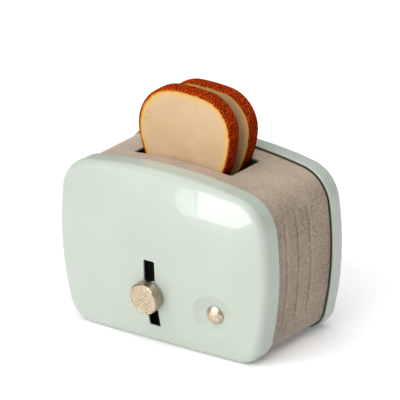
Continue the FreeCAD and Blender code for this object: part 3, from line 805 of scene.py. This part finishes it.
@dataclass(frozen=True)
class Lever:
    """Knob, stem and outer slide washer on the lever's axis, in millimetres."""

    spindle: Spindle
    knob_radius: float = 4.3
    knob_depth: float = 3.1
    knob_stand: float = 0.4
    knob_edge: float = 0.5
    knob_rim: float = 0.75
    knob_hollow: float = 0.15
    hollow_round: float = 0.12
    rim_flat: float = 0.03
    knob_step: float = 0.12
    stem_radius: float = 1.3
    stem_grip: float = 1.9
    stem_tail: float = 12.1
    stem_step: float = 0.4
    fit: float = 0.02
    washer_radius: float = 3.4
    washer_stand: float = 0.05
    washer_depth: float = 0.3

    def knob(self) -> bpy.types.Object:
        """Turn the knob: a dished face inside a rim, round edges and a blind bore behind.

        Returns:
            The knob.
        """
        edge, far = self.knob_edge, self.knob_stand + self.knob_depth
        radius, floor = self.knob_radius, far - self.knob_hollow
        dish, soft = self.knob_radius - self.knob_rim, self.hollow_round
        bore, deep = self.stem_radius + self.fit, self.knob_stand + self.stem_grip + self.fit
        corners = [
            np.array([[0.0, floor], [dish - soft, floor]]),
            arc_profile((dish - soft, far - self.rim_flat), soft, -90, 0, 5),
            np.array([[dish + self.rim_flat, far]]),
            arc_profile((radius - edge, far - edge), edge, 90, 0, 9),
            arc_profile((radius - edge, self.knob_stand + edge), edge, 0, -90, 9),
            np.array([[bore, self.knob_stand], [bore, deep], [0.0, deep]]),
        ]
        profile = refined(np.concatenate(corners), self.knob_step)
        piece = self.spindle.turn("knob", profile, sharp=70, ringed=True)
        return seat(piece, "lever_knob", Body.LEVER)

    def stem(self) -> bpy.types.Object:
        """Turn the stem, with both ends rounded.

        Returns:
            The stem.
        """
        low, high = -self.stem_tail, self.knob_stand + self.stem_grip
        soft = self.stem_radius / 4
        corners = [
            np.array([[0.0, low]]),
            arc_profile((self.stem_radius - soft, low + soft), soft, -90, 0, 6),
            arc_profile((self.stem_radius - soft, high - soft), soft, 0, 90, 6),
            np.array([[0.0, high]]),
        ]
        piece = self.spindle.turn("stem", refined(np.concatenate(corners), self.stem_step), 64)
        return seat(piece, "lever_stem", Body.LEVER)

    def washer(self) -> bpy.types.Object:
        """Turn the washer that slides on the cover's face.

        Returns:
            The washer.
        """
        low, high = self.washer_stand, self.washer_stand + self.washer_depth
        soft = self.washer_depth / 3
        bore = self.stem_radius + self.fit
        corners = [
            np.array([[bore, low]]),
            arc_profile((self.washer_radius - soft, low + soft), soft, -90, 0, 4),
            arc_profile((self.washer_radius - soft, high - soft), soft, 0, 90, 4),
            np.array([[bore, high]]),
        ]
        piece = self.spindle.turn("slide_washer", np.concatenate(corners), 96)
        return seat(piece, "outer_slide_washer", Body.LEVER)


@dataclass(frozen=True)
class Stud:
    """Domed stud riveted into the dish, in millimetres."""

    spindle: Spindle
    radius: float = 2.55
    rise: float = 1.5
    stand: float = 0.3
    shank_radius: float = 1.1
    shank_length: float = 2.6
    soft: float = 0.12
    soft_turn: float = 4.0
    step: float = 0.15

    def build(self) -> bpy.types.Object:
        """Turn the stud: a ball's cap over a flat back and a plain shank.

        Returns:
            The stud.
        """
        ball = (self.radius**2 + self.rise**2) / (2 * self.rise)
        low = self.stand - (ball - self.rise)
        lean = math.degrees(math.asin(self.radius / ball))
        soft = self.soft
        corners = [
            arc_profile((0.0, low), ball, 90, 90 - lean + self.soft_turn, 28),
            np.array([[self.radius - soft / 2, self.stand + soft / 3], [self.radius - soft, self.stand]]),
            np.array([[self.shank_radius, self.stand], [self.shank_radius, -self.shank_length]]),
            np.array([[0.0, -self.shank_length]]),
        ]
        profile = np.concatenate(corners)
        profile[0, 0] = 0.0
        piece = self.spindle.turn("stud", refined(profile, self.step), 128, sharp=60)
        return seat(piece, "dish_stud", Body.CASE)


# Bread


@dataclass(frozen=True)
class BreadSlice:
    """Slice of toast with round edges, standing on the carriage, in millimetres."""

    name: str
    node: str
    body: Body
    middle_y: float
    height: float
    wrap: float = 0.0
    x: float = -0.95
    z: float = 37.8
    depth: float = 4.0
    edge: float = 0.5
    around: int = 360
    face_steps: int = 60
    edge_steps: int = 9

    def outline(self) -> Outline:
        """Outline of the slice: bulged sides, and a left shoulder that is rounder than the right one.

        Returns:
            The outline, in millimetres from the middle of its foot.
        """
        return Outline(
            width=29.8,
            height=self.height,
            side_arc=27.0,
            side_mid=19.0,
            top_arc=60.0,
            corner_low=2.0,
            corner_left=12.2,
            corner_right=9.4,
        )

    def front_half(self, outline: Outline) -> list[tuple[Points, float, Points, float]]:
        """Rings of the front half, from the middle of the face round the edge to the slice's middle plane.

        The face shrinks the outline towards its middle, the edge is a circle's quarter, and the crust is
        straight.

        Args:
            outline: Outline of the slice.

        Returns:
            For each ring its points as x, z, its height over the middle plane, its distance from the edge and
            its share of crust.
        """
        share = np.arange(self.around) / self.around
        half = self.depth / 2
        flat_edge, _ = outline.ring(share, self.edge)
        centre = np.array([0.0, outline.height * 0.5])
        rings = []
        for part in np.linspace(0, 1, self.face_steps):
            flat = centre * (1 - part) + flat_edge * part
            rings.append((flat, half, np.linalg.norm(flat_edge - flat, axis=1) + self.edge, 0.0))
        for angle in np.linspace(0, math.pi / 2, self.edge_steps)[1:]:
            reach = self.edge * (1 - math.sin(angle))
            height = half - self.edge * (1 - math.cos(angle))
            flat, _ = outline.ring(share, reach)
            rings.append((flat, height, np.full(self.around, reach), math.sin(angle)))
        flat, _ = outline.ring(share, 0.0)
        for part in np.linspace(0, 0.5, self.edge_steps)[1:]:
            rings.append((flat, (half - self.edge) * (1 - 2 * part), np.zeros(self.around), 1.0))
        return rings

    def build(self) -> bpy.types.Object:
        """Build the slice as a closed grid of rings, from the middle of one face to the middle of the other.

        Returns:
            The slice, with a layer for the distance from its edge; the wrap lets the crust stay off the face.
        """
        front = self.front_half(self.outline())
        rings = front + [(flat, -y, rim, crust) for flat, y, rim, crust in front[-2::-1]]
        flat = np.array([ring[0] for ring in rings])
        y = self.middle_y - np.repeat([[ring[1]] for ring in rings], self.around, axis=1)
        points = np.stack([flat[..., 0] + self.x, y, flat[..., 1] + self.z], axis=-1)
        quads = grid_quads(len(rings), self.around, False, True)
        layers = {"rim": np.array([rim + self.wrap * (1 - crust) for _, _, rim, crust in rings])}
        piece = make_piece(self.name, points.reshape(-1, 3), quads, layers)
        return seat(piece, self.node, self.body)


# Finishes


@dataclass(frozen=True)
class Grain:
    """Cloudy noise: features per metre, detail, roughness, and the part of its range that a finish uses."""

    scale: float
    detail: float = 2.0
    rough: float = 0.5
    low: float = 0.3
    high: float = 0.7


class Graph:
    """Node graph of one material, with a short call for each kind of node."""

    def __init__(self, name: str) -> None:
        """Start a material with a shader whose input is the object's own coordinates.

        Args:
            name: Name of the material.
        """
        self.material = bpy.data.materials.new(name)
        self.material.use_nodes = True
        self.tree = self.material.node_tree
        self.tree.nodes.clear()
        self.shader = self.add("ShaderNodeBsdfPrincipled")
        output = self.add("ShaderNodeOutputMaterial")
        self.tree.links.new(self.shader.outputs["BSDF"], output.inputs["Surface"])
        self.place = self.add("ShaderNodeTexCoord").outputs["Object"]

    def add(self, kind: str) -> bpy.types.Node:
        """Add a node of a kind."""
        return self.tree.nodes.new(kind)

    def put(self, socket: bpy.types.NodeSocket, value: Feed) -> None:
        """Link an output to a socket, or set its constant.

        Args:
            socket: The input socket.
            value: An output, a number or a colour.
        """
        if isinstance(value, bpy.types.NodeSocket):
            self.tree.links.new(value, socket)
        elif isinstance(value, tuple) and len(value) == 3 and socket.type == "RGBA":
            socket.default_value = (*value, 1.0)
        else:
            socket.default_value = value

    def noise(self, grain: Grain) -> bpy.types.NodeSocket:
        """Cloudy noise from 0 to 1.

        Args:
            grain: Its scale, detail and roughness.

        Returns:
            The noise.
        """
        node = self.add("ShaderNodeTexNoise")
        self.put(node.inputs["Vector"], self.place)
        for name, value in (("Scale", grain.scale), ("Detail", grain.detail), ("Roughness", grain.rough)):
            node.inputs[name].default_value = value
        return node.outputs["Fac"]

    def cloud(self, grain: Grain, to_low: float = 0.0, to_high: float = 1.0) -> bpy.types.NodeSocket:
        """Noise whose used range is moved to another, held at its ends."""
        return self.scaled(self.noise(grain), grain.low, grain.high, to_low, to_high)

    def cells(self, scale: float) -> bpy.types.NodeSocket:
        """Distance to the nearest of scattered points, in cell sizes.

        Args:
            scale: Points per metre.

        Returns:
            The distance.
        """
        node = self.add("ShaderNodeTexVoronoi")
        self.put(node.inputs["Vector"], self.place)
        node.inputs["Scale"].default_value = scale
        return node.outputs["Distance"]

    def ramp(self, value: Feed, *stops: tuple[float, Colour]) -> bpy.types.NodeSocket:
        """Colours along a value.

        Args:
            value: Where on the ramp.
            stops: Place and colour of each stop, in order.

        Returns:
            The colour.
        """
        node = self.add("ShaderNodeValToRGB")
        self.put(node.inputs["Fac"], value)
        points = node.color_ramp.elements
        while len(points) < len(stops):
            points.new(0.5)
        for point, (at, colour) in zip(points, stops):
            point.position = at
            point.color = (*colour, 1.0)
        return node.outputs["Color"]

    def scaled(
        self, value: Feed, low: float, high: float, to_low: float = 0.0, to_high: float = 1.0
    ) -> bpy.types.NodeSocket:
        """Move a value smoothly from one range to another, held at its ends.

        Args:
            value: The value.
            low: Start of its range.
            high: End of its range.
            to_low: Result at the start.
            to_high: Result at the end.

        Returns:
            The moved value.
        """
        node = self.add("ShaderNodeMapRange")
        node.interpolation_type = "SMOOTHSTEP"
        self.put(node.inputs["Value"], value)
        for name, number in (("From Min", low), ("From Max", high), ("To Min", to_low), ("To Max", to_high)):
            node.inputs[name].default_value = number
        return node.outputs["Result"]

    def mix(self, share: Feed, a: Feed, b: Feed) -> bpy.types.NodeSocket:
        """Mix two colours; the node's sockets 6 and 7 are its colours, and its output 2 is theirs.

        Args:
            share: Share of the second colour.
            a: First colour.
            b: Second colour.

        Returns:
            The mixed colour.
        """
        node = self.add("ShaderNodeMix")
        node.data_type = "RGBA"
        self.put(node.inputs["Factor"], share)
        self.put(node.inputs[6], a)
        self.put(node.inputs[7], b)
        return node.outputs[2]

    def sum(self, operation: str, a: Feed, b: Feed = 0.0) -> bpy.types.NodeSocket:
        """One arithmetic step.

        Args:
            operation: Blender's name of the step.
            a: First value.
            b: Second value, where the step has one.

        Returns:
            The result.
        """
        node = self.add("ShaderNodeMath")
        node.operation = operation
        self.put(node.inputs[0], a)
        self.put(node.inputs[1], b)
        return node.outputs[0]

    def layer(self, name: str) -> bpy.types.NodeSocket:
        """Values kept on the mesh under a name, or zero where it has none.

        Args:
            name: Name of the layer.

        Returns:
            The values.
        """
        node = self.add("ShaderNodeAttribute")
        node.attribute_name = name
        return node.outputs["Fac"]

    def place_along(self, axis: str) -> bpy.types.NodeSocket:
        """Place along X, Y or Z, in metres.

        Args:
            axis: The axis.

        Returns:
            The coordinate.
        """
        node = self.add("ShaderNodeSeparateXYZ")
        self.put(node.inputs["Vector"], self.place)
        return node.outputs[axis]

    def bump(
        self, height: Feed, distance: float, normal: bpy.types.NodeSocket | None = None
    ) -> bpy.types.NodeSocket:
        """Bumps of a depth.

        Args:
            height: Height from 0 to 1.
            distance: Depth in metres.
            normal: Other bumps that these lie on.

        Returns:
            The normal.
        """
        node = self.add("ShaderNodeBump")
        node.inputs["Distance"].default_value = distance
        self.put(node.inputs["Height"], height)
        if normal is not None:
            self.put(node.inputs["Normal"], normal)
        return node.outputs["Normal"]

    def surface(self, **values: Feed) -> bpy.types.Material:
        """Set the shader's sockets by name, with spaces written as underscores.

        Args:
            values: A constant or an output for each socket.

        Returns:
            The finished material.
        """
        for name, value in values.items():
            self.put(self.shader.inputs[name.replace("_", " ")], value)
        return self.material


def darker(colour: Colour, share: float) -> Colour:
    """A share of a colour."""
    return tuple(share * part for part in colour)


@dataclass(frozen=True)
class Enamel:
    """Glossy baked enamel on pressed steel, near black inside: partly a dark undercoat, partly painted shade
    in the gaps.
    """

    name: str
    colour: Colour
    deep: Colour
    primer_and_gap_shade: Colour
    cloud: Grain = Grain(70.0, 3.0, low=0.35)
    speck_scale: float = 1100.0
    speck_reach: float = 0.08
    speck_share: float = 0.35
    speck_patches: Grain = Grain(300.0, 1.0, low=0.6)
    peel: Grain = Grain(500.0)
    peel_depth: float = 0.000004
    wave: Grain = Grain(55.0, 1.0)
    wave_depth: float = 0.00005
    haze: Grain = Grain(300.0, 4.0)

    def material(self) -> bpy.types.Material:
        """Enamel with a faint orange peel and pin-prick specks under a clear coat.

        Returns:
            The material.
        """
        g = Graph(self.name)
        colour = g.mix(g.cloud(self.cloud), self.colour, self.deep)
        speck = g.scaled(g.cells(self.speck_scale), 0.0, self.speck_reach, self.speck_share, 0.0)
        rare = g.cloud(self.speck_patches)
        colour = g.mix(g.sum("MULTIPLY", speck, rare), colour, self.primer_and_gap_shade)
        # The specks show the dark undercoat; the inner wall takes the same near black, partly as painted
        # shade in the gaps at the lips and the slot.
        colour = g.mix(g.layer("inside"), colour, self.primer_and_gap_shade)
        peel = g.bump(g.noise(self.peel), self.peel_depth)
        wave = g.bump(g.noise(self.wave), self.wave_depth, peel)
        return g.surface(
            Base_Color=colour,
            Roughness=g.cloud(self.haze, 0.3, 0.4),
            Specular_IOR_Level=0.2,
            Coat_Weight=0.5,
            Coat_Roughness=0.04,
            Normal=wave,
            Coat_Normal=wave,
        )


@dataclass(frozen=True)
class SpeckledPaint:
    """Fine-grained two-tone paint that looks like a tight weave; lengths are in metres."""

    name: str
    dark: Colour
    middle: Colour
    light: Colour
    middle_y: float
    lip_shadow_from: float
    lip_shadow_full: float
    lip_shadow_share: float = 0.92
    lip_shadow_dark: float = 0.12
    top_light_from: float = 0.034
    top_light_full: float = 0.047
    top_light_share: float = 0.28
    grain: Grain = Grain(6400.0, 2.0, 0.7)
    grain_share: float = 0.75
    cell_scale: float = 5200.0
    cell_near: float = 0.1
    cell_far: float = 0.7
    dark_at: float = 0.36
    middle_at: float = 0.5
    light_at: float = 0.62
    cloud: Grain = Grain(120.0, 3.0, high=0.75)
    cloud_share: float = 0.14
    groove_shade_share: float = 0.3
    groove_highlight_share: float = 0.12
    depth: float = 0.00007

    def material(self) -> bpy.types.Material:
        """Grains about 0.2 mm wide in three tones, each a bump of its own.

        The paint is lighter up the shoulders and beside the grooves as painted light, and darker in the
        grooves and where the covers' lips shade it as painted shade.

        Returns:
            The material.
        """
        g = Graph(self.name)
        grain = g.sum("MULTIPLY", g.noise(self.grain), self.grain_share)
        speckle = g.scaled(g.cells(self.cell_scale), self.cell_near, self.cell_far, 1.0, 0.0)
        tone = g.sum("ADD", grain, g.sum("MULTIPLY", speckle, 1 - self.grain_share))
        stops = ((self.dark_at, self.dark), (self.middle_at, self.middle), (self.light_at, self.light))
        colour = g.ramp(tone, *stops)
        colour = g.mix(g.cloud(self.cloud, 0.0, self.cloud_share), colour, self.light)
        # Painted shade in the grooves, and a painted highlight on the edge beside each.
        colour = g.mix(g.sum("MULTIPLY", g.layer("groove"), self.groove_shade_share), colour, self.dark)
        colour = g.mix(g.sum("MULTIPLY", g.layer("groove_highlight"), self.groove_highlight_share), colour, self.light)
        # Painted light: the paint is lighter towards the top, where the light falls on the shoulders.
        height = g.place_along("Z")
        top_light = g.scaled(height, self.top_light_from, self.top_light_full, 0.0, self.top_light_share)
        colour = g.mix(top_light, colour, self.light)
        # Painted shadow: the paint turns dark near each end of the sleeve, where the covers' lips meet it.
        reach = g.sum("ABSOLUTE", g.sum("SUBTRACT", g.place_along("Y"), self.middle_y))
        gap = g.scaled(reach, self.lip_shadow_from, self.lip_shadow_full, 0.0, self.lip_shadow_share)
        colour = g.mix(gap, colour, darker(self.dark, self.lip_shadow_dark))
        return g.surface(
            Base_Color=colour,
            Roughness=0.55,
            Specular_IOR_Level=0.35,
            Sheen_Weight=0.9,
            Sheen_Roughness=0.3,
            Sheen_Tint=(1.0, 0.9, 0.86),
            Normal=g.bump(tone, self.depth),
        )


@dataclass(frozen=True)
class TurnedMetal:
    """Metal with fine turning marks and small nicks; the radii are in millimetres."""

    name: str
    colour: Colour
    shade: Colour
    rough: float = 0.3
    rough_more: float = 0.18
    ring_pitch: float = 0.56
    ring_share: float = 0.12
    side_from: float = 3.9
    side_shade_full: float = 4.25
    side_shade_share: float = 0.5
    side_shade_dark: float = 0.6
    nicks: Grain = Grain(1800.0, 4.0, 0.6, 0.2, 0.8)
    nick_low: float = 0.3
    nick_high: float = 0.7
    mark_from: float = 0.3
    mark_full: float = 0.75
    haze: Grain = Grain(900.0, 4.0)
    depth: float = 0.00005

    def material(self) -> bpy.types.Material:
        """Metal whose tone and roughness vary with fine grain.

        A piece with a radius layer gets turned rings, a sine of the radius, and a side darkened as painted
        shade.

        Returns:
            The material.
        """
        g = Graph(self.name)
        turns = g.sum("MULTIPLY", g.layer("radius"), math.tau / self.ring_pitch)
        ring = g.sum("MULTIPLY", g.sum("SINE", turns), self.ring_share)
        mark = g.sum("ADD", g.cloud(self.nicks, self.nick_low, self.nick_high), ring)
        colour = g.mix(g.scaled(mark, self.mark_from, self.mark_full), self.colour, self.shade)
        # Painted shade: the turned side, from side_from outwards, is darker.
        side = g.scaled(g.layer("radius"), self.side_from, self.side_shade_full, 0.0, self.side_shade_share)
        colour = g.mix(side, colour, darker(self.shade, self.side_shade_dark))
        rough = g.cloud(self.haze, self.rough, self.rough + self.rough_more)
        return g.surface(Base_Color=colour, Metallic=1.0, Roughness=rough, Normal=g.bump(mark, self.depth))


@dataclass(frozen=True)
class Plastic:
    """Moulded plastic with a fine texture."""

    name: str
    colour: Colour
    rough: float
    lighter_by: float = 1.35
    lighter_least: float = 0.01
    cloud: Grain = Grain(500.0, 4.0, high=0.8)
    texture: Grain = Grain(3000.0)
    depth: float = 0.00003

    def material(self) -> bpy.types.Material:
        """Plastic with a fine grain and a slight change of tone.

        Returns:
            The material.
        """
        g = Graph(self.name)
        lighter = tuple(min(1.0, self.lighter_by * part + self.lighter_least) for part in self.colour)
        colour = g.mix(g.cloud(self.cloud), self.colour, lighter)
        normal = g.bump(g.noise(self.texture), self.depth)
        return g.surface(Base_Color=colour, Roughness=self.rough, Normal=normal)


@dataclass(frozen=True)
class Toast:
    """Painted crumb that glows orange at its rim, inside a dark grainy crust; reaches are in millimetres."""

    name: str
    crumb: Colour
    deep: Colour
    halo: Colour
    rim: Colour
    crust: Colour
    fleck: Colour
    high_from: float = 0.05
    high_full: float = 0.064
    creep: float = 0.15
    wobble: Grain = Grain(420.0, 4.0, 0.6)
    wobble_share: float = 0.9
    crust_reach: float = 0.85
    rim_from: float = 1.0
    crust_end: float = 1.1
    rim_reach: float = 1.6
    rim_share: float = 0.95
    halo_reach: float = 3.4
    halo_share: float = 0.85
    clouds: Grain = Grain(110.0, 5.0, low=0.35)
    grain: Grain = Grain(700.0, 5.0, 0.7, low=0.55, high=0.8)
    grain_share: float = 0.35
    pore_scale: float = 300.0
    pore_grain: float = 0.25
    pore_full: float = 0.17
    pore_end: float = 0.25
    pore_share: float = 0.85
    pore_patches: Grain = Grain(170.0, 1.0, low=0.46, high=0.58)
    flecks: Grain = Grain(2600.0, 3.0, 0.7, low=0.5, high=0.62)
    fleck_rise: float = 0.03
    pit_depth: float = 0.00018
    fleck_depth: float = 0.00016
    gloss: Grain = Grain(500.0, 3.0)

    def material(self) -> bpy.types.Material:
        """Crumb, rim and crust by the distance from the slice's edge, with pores in the crumb.

        The wobble moves the borders by some tenths of a millimetre, and the crust creeps further onto the
        face where the slice is high.

        Returns:
            The material.
        """
        g = Graph(self.name)
        high = g.scaled(g.place_along("Z"), self.high_from, self.high_full)
        wobble = g.sum("MULTIPLY", g.noise(self.wobble), self.wobble_share)
        reach = g.sum("ADD", g.layer("rim"), wobble)
        reach = g.sum("SUBTRACT", reach, g.sum("MULTIPLY", high, self.creep))
        crumb = g.mix(g.cloud(self.clouds), self.crumb, self.deep)
        grain = g.noise(self.grain)
        coarse = g.scaled(grain, self.grain.low, self.grain.high, 0.0, self.grain_share)
        crumb = g.mix(coarse, crumb, self.deep)
        spots = g.sum("ADD", g.cells(self.pore_scale), g.sum("MULTIPLY", grain, self.pore_grain))
        pore = g.scaled(spots, self.pore_full, self.pore_end, self.pore_share, 0.0)
        pore = g.sum("MULTIPLY", pore, g.cloud(self.pore_patches))
        crumb = g.mix(pore, crumb, self.rim)
        crumb = g.mix(g.scaled(reach, self.rim_from, self.halo_reach, self.halo_share, 0.0), crumb, self.halo)
        crumb = g.mix(g.scaled(reach, self.rim_from, self.rim_reach, self.rim_share, 0.0), crumb, self.rim)
        flecks = g.sum("ADD", g.noise(self.flecks), g.sum("MULTIPLY", high, self.fleck_rise))
        crust = g.mix(g.scaled(flecks, self.flecks.low, self.flecks.high), self.crust, self.fleck)
        colour = g.mix(g.scaled(reach, self.crust_reach, self.crust_end, 1.0, 0.0), crumb, crust)
        pits = g.bump(g.sum("SUBTRACT", grain, pore), self.pit_depth)
        normal = g.bump(g.noise(self.flecks), self.fleck_depth, pits)
        rough = g.cloud(self.gloss, 0.42, 0.62)
        return g.surface(Base_Color=colour, Roughness=rough, Specular_IOR_Level=0.0, Normal=normal)


MINT = Enamel("mint_enamel", (0.44, 0.49, 0.43), (0.425, 0.475, 0.415), (0.02, 0.02, 0.018))
TAUPE = SpeckledPaint(
    "speckled_taupe",
    dark=(0.1, 0.074, 0.046),
    middle=(0.29, 0.221, 0.153),
    light=(0.72, 0.59, 0.46),
    middle_y=float(OVER_ORIGIN[1] * MM),
    lip_shadow_from=0.01125,
    lip_shadow_full=0.0115,
)
CHAMPAGNE = TurnedMetal("champagne_metal", (0.66, 0.56, 0.43), (0.36, 0.27, 0.17), 0.28)
STEEL = TurnedMetal("plain_steel", (0.56, 0.56, 0.55), (0.4, 0.4, 0.4), 0.35)
BLACK = Plastic("moulded_black", (0.006, 0.0055, 0.005), 0.6)
WHITE = Plastic("white_slider", (0.72, 0.71, 0.67), 0.4)
TOAST = Toast(
    "toasted_bread",
    crumb=(0.6, 0.43, 0.265),
    deep=(0.55, 0.38, 0.22),
    halo=(0.66, 0.43, 0.12),
    rim=(0.56, 0.17, 0.012),
    crust=(0.13, 0.006, 0.003),
    fleck=(0.56, 0.075, 0.004),
)

# Surroundings


WHITE_LIGHT: Colour = (1.0, 1.0, 1.0)
NO_COLOUR: Colour = (0.0, 0.0, 0.0)


def direction(azimuth: float, elevation: float) -> Vector:
    """Unit vector towards a viewpoint: (sin a cos e, -cos a cos e, sin e), so azimuth 0 is the front.

    Args:
        azimuth: Degrees to the right of the front.
        elevation: Degrees above the table.

    Returns:
        The vector.
    """
    a, e = math.radians(azimuth), math.radians(elevation)
    return Vector((math.sin(a) * math.cos(e), -math.cos(a) * math.cos(e), math.sin(e)))


def flat_piece(name: str, corners: list[Vector], material: bpy.types.Material) -> bpy.types.Object:
    """Make a flat piece of the studio, of one face.

    Args:
        name: Name of the piece.
        corners: Its corners in order, in metres.
        material: Its finish.

    Returns:
        The piece.
    """
    mesh = bpy.data.meshes.new(name)
    mesh.from_pydata(corners, [], [tuple(range(len(corners)))])
    piece = placed(name, mesh)
    dress(piece, material)
    return piece


@dataclass(frozen=True)
class FarLight:
    """Even light from one side over the whole scene; a wide spread makes its shadows soft."""

    name: str
    power: float
    spread: float
    azimuth: float
    elevation: float

    def hang(self) -> None:
        """Put the light in the scene."""
        lamp = bpy.data.lights.new(self.name, "SUN")
        lamp.energy = self.power
        lamp.angle = math.radians(self.spread)
        holder = placed(self.name, lamp)
        holder.location = direction(self.azimuth, self.elevation)
        holder.rotation_euler = (-holder.location).to_track_quat("-Z", "Y").to_euler()


@dataclass(frozen=True)
class Card:
    """Bright card at the left in front that only the gloss mirrors, as a patch on the front face.

    Its corners are places along and up an upright plane, in millimetres. They lie where the corners of the
    photograph's highlight, seen from the camera and mirrored in the domed face, meet that plane.
    """

    name: str
    glow: float
    corners: tuple[tuple[float, float], ...]
    azimuth: float = 27.0
    reach: float = 25.0
    foot: tuple[float, float, float] = (12.0, -15.8, 0.0)

    def hang(self) -> None:
        """Put the card in the scene: each corner is foot + out * reach + across * along + up."""
        a = math.radians(self.azimuth)
        out = Vector((-math.sin(a), -math.cos(a), 0.0))
        across = Vector((math.cos(a), -math.sin(a), 0.0))
        foot = Vector(self.foot) + out * self.reach
        places = [(foot + across * along + Vector((0.0, 0.0, up))) * MM for along, up in self.corners]
        g = Graph(self.name)
        glow = g.surface(Base_Color=NO_COLOUR, Emission_Color=WHITE_LIGHT, Emission_Strength=self.glow)
        piece = flat_piece(self.name, places, glow)
        piece.visible_camera = False
        piece.visible_diffuse = False
        piece.visible_shadow = False


KEY = FarLight("key", power=2.88, spread=80.0, azimuth=-9.0, elevation=15.0)
SKY = FarLight("sky", power=2.5, spread=80.0, azimuth=10.0, elevation=84.0)
LEFT_CARD = Card(
    "left_card",
    6.0,
    ((-7.3, 46.3), (-6.9, 42.3), (-5.0, 38.5), (-2.2, 36.6), (0.8, 36.7), (-0.7, 41.2), (-2.9, 46.0)),
)
RIGHT_CARD = Card(
    "right_card",
    9.5,
    (
        *((0.0, 41.2), (1.3, 36.4), (4.4, 35.6), (9.0, 33.5), (13.0, 31.3), (16.2, 30.4)),
        *((31.5, 37.9), (32.6, 52.9), (23.2, 71.1), (9.0, 60.6), (-2.4, 49.2)),
    ),
)
LOW_CARD = Card("low_card", 1.6, ((5.5, 29.0), (8.0, 1.0), (22.0, 1.0), (18.5, 24.5), (13.0, 25.5)))


@dataclass(frozen=True)
class Studio:
    """Pale floor, soft lights and the camera; the target is in millimetres, other lengths in metres."""

    azimuth: float = 36.9
    elevation: float = 22.2
    roll: float = -0.96
    distance: float = 2.052
    lens: float = 720.0
    sensor: float = 36.0
    clip: tuple[float, float] = (0.1, 20.0)
    target: tuple[float, float, float] = (-0.7, 2.186, 33.7)
    room: float = 0.12
    floor_reach: float = 3.0
    floor_glow: float = 0.12
    floor_cloud: Grain = Grain(4.0)
    floor_low: Colour = (0.93, 0.93, 0.93)
    floor_high: Colour = (0.95, 0.95, 0.95)

    def floor(self) -> None:
        """Lay a wide pale floor."""
        reach = self.floor_reach
        corners = [Vector((x * reach, y * reach, 0.0)) for x, y in ((-1, -1), (1, -1), (1, 1), (-1, 1))]
        g = Graph("pale_floor")
        tone = g.mix(g.noise(self.floor_cloud), self.floor_low, self.floor_high)
        glow = {"Emission_Color": WHITE_LIGHT, "Emission_Strength": self.floor_glow}
        flat_piece("floor", corners, g.surface(Base_Color=tone, Roughness=0.9, **glow))

    def camera(self) -> None:
        """Place the camera at the photograph's angle."""
        back = direction(self.azimuth, self.elevation)
        data = bpy.data.cameras.new("camera")
        data.lens = self.lens
        data.sensor_width = self.sensor
        data.clip_start, data.clip_end = self.clip
        holder = placed("camera", data)
        turn = (-back).to_track_quat("-Z", "Y").to_matrix()
        turn = turn @ Matrix.Rotation(math.radians(self.roll), 3, "Z")
        holder.location = Vector(self.target) * MM + back * self.distance
        holder.rotation_euler = turn.to_euler()
        bpy.context.scene.camera = holder

    def world(self) -> None:
        """Fill the room with white light."""
        world = bpy.data.worlds.new("room")
        world.use_nodes = True
        shade = world.node_tree.nodes["Background"]
        shade.inputs["Color"].default_value = (*WHITE_LIGHT, 1.0)
        shade.inputs["Strength"].default_value = self.room
        bpy.context.scene.world = world

    def build(self) -> None:
        """Set up floor, room, lights and camera."""
        self.floor()
        self.world()
        for item in (KEY, SKY, LEFT_CARD, RIGHT_CARD, LOW_CARD):
            item.hang()
        self.camera()


def covers() -> tuple[Cover, Cover]:
    """Front cover with its slot and dish, and the plain back cover, before they are built."""
    front = Cover(Side.FRONT, "front_cover", slot=Slot(), dish=Dish())
    return front, Cover(Side.BACK, "back_cover", skirt=4.85)


def dish_stud(front: Cover) -> Stud:
    """Stud that stands on the floor of the front cover's dish.

    Args:
        front: The front cover.

    Returns:
        The stud.
    """
    dish = np.array(front.face_point(front.dish.x, front.dish.z))
    axis = front.normal(front.dish.x, front.dish.z)
    return Stud(Spindle(tuple(dish - front.dish.depth * axis), tuple(axis)))


def slices() -> tuple[BreadSlice, BreadSlice]:
    """Sizes of the two slices, at equal distances from the sleeve's middle.

    Returns:
        The front slice and the rear slice.
    """
    return (
        BreadSlice("front_toast", "front_bread_slice", Body.FRONT_SLICE, middle_y=-4.15, height=28.1),
        BreadSlice("rear_toast", "rear_bread_slice", Body.REAR_SLICE, middle_y=4.15, height=26.8, wrap=0.6),
    )


def main() -> None:
    """Build every piece, dress it and set up the studio."""
    logging.basicConfig(level=logging.INFO, format="%(message)s")
    bpy.context.scene.view_settings.view_transform = "Standard"
    finishes = {f.name: f.material() for f in (MINT, TAUPE, CHAMPAGNE, STEEL, BLACK, WHITE, TOAST)}
    front, back = covers()
    lever = Lever(Spindle.on_face(front, front.slot.x, front.slot.z))
    pieces = {
        "mint_enamel": [front.build(), back.build()],
        "speckled_taupe": [Sleeve().build()],
        "champagne_metal": [lever.knob(), dish_stud(front).build()],
        "plain_steel": [lever.stem()],
        "white_slider": [lever.washer()],
        "toasted_bread": [toast.build() for toast in slices()],
    }
    for slot, made in pieces.items():
        for piece in made:
            dress(piece, finishes[slot])
            log.info("%s: %d faces", piece.name, len(piece.data.polygons))
    for row in frame["record"]["subparts"]:
        dress(frame["nodes"][row["node"]], finishes[row["material_slot"]])
    Studio().build()


if __name__ == "__main__":
    main()
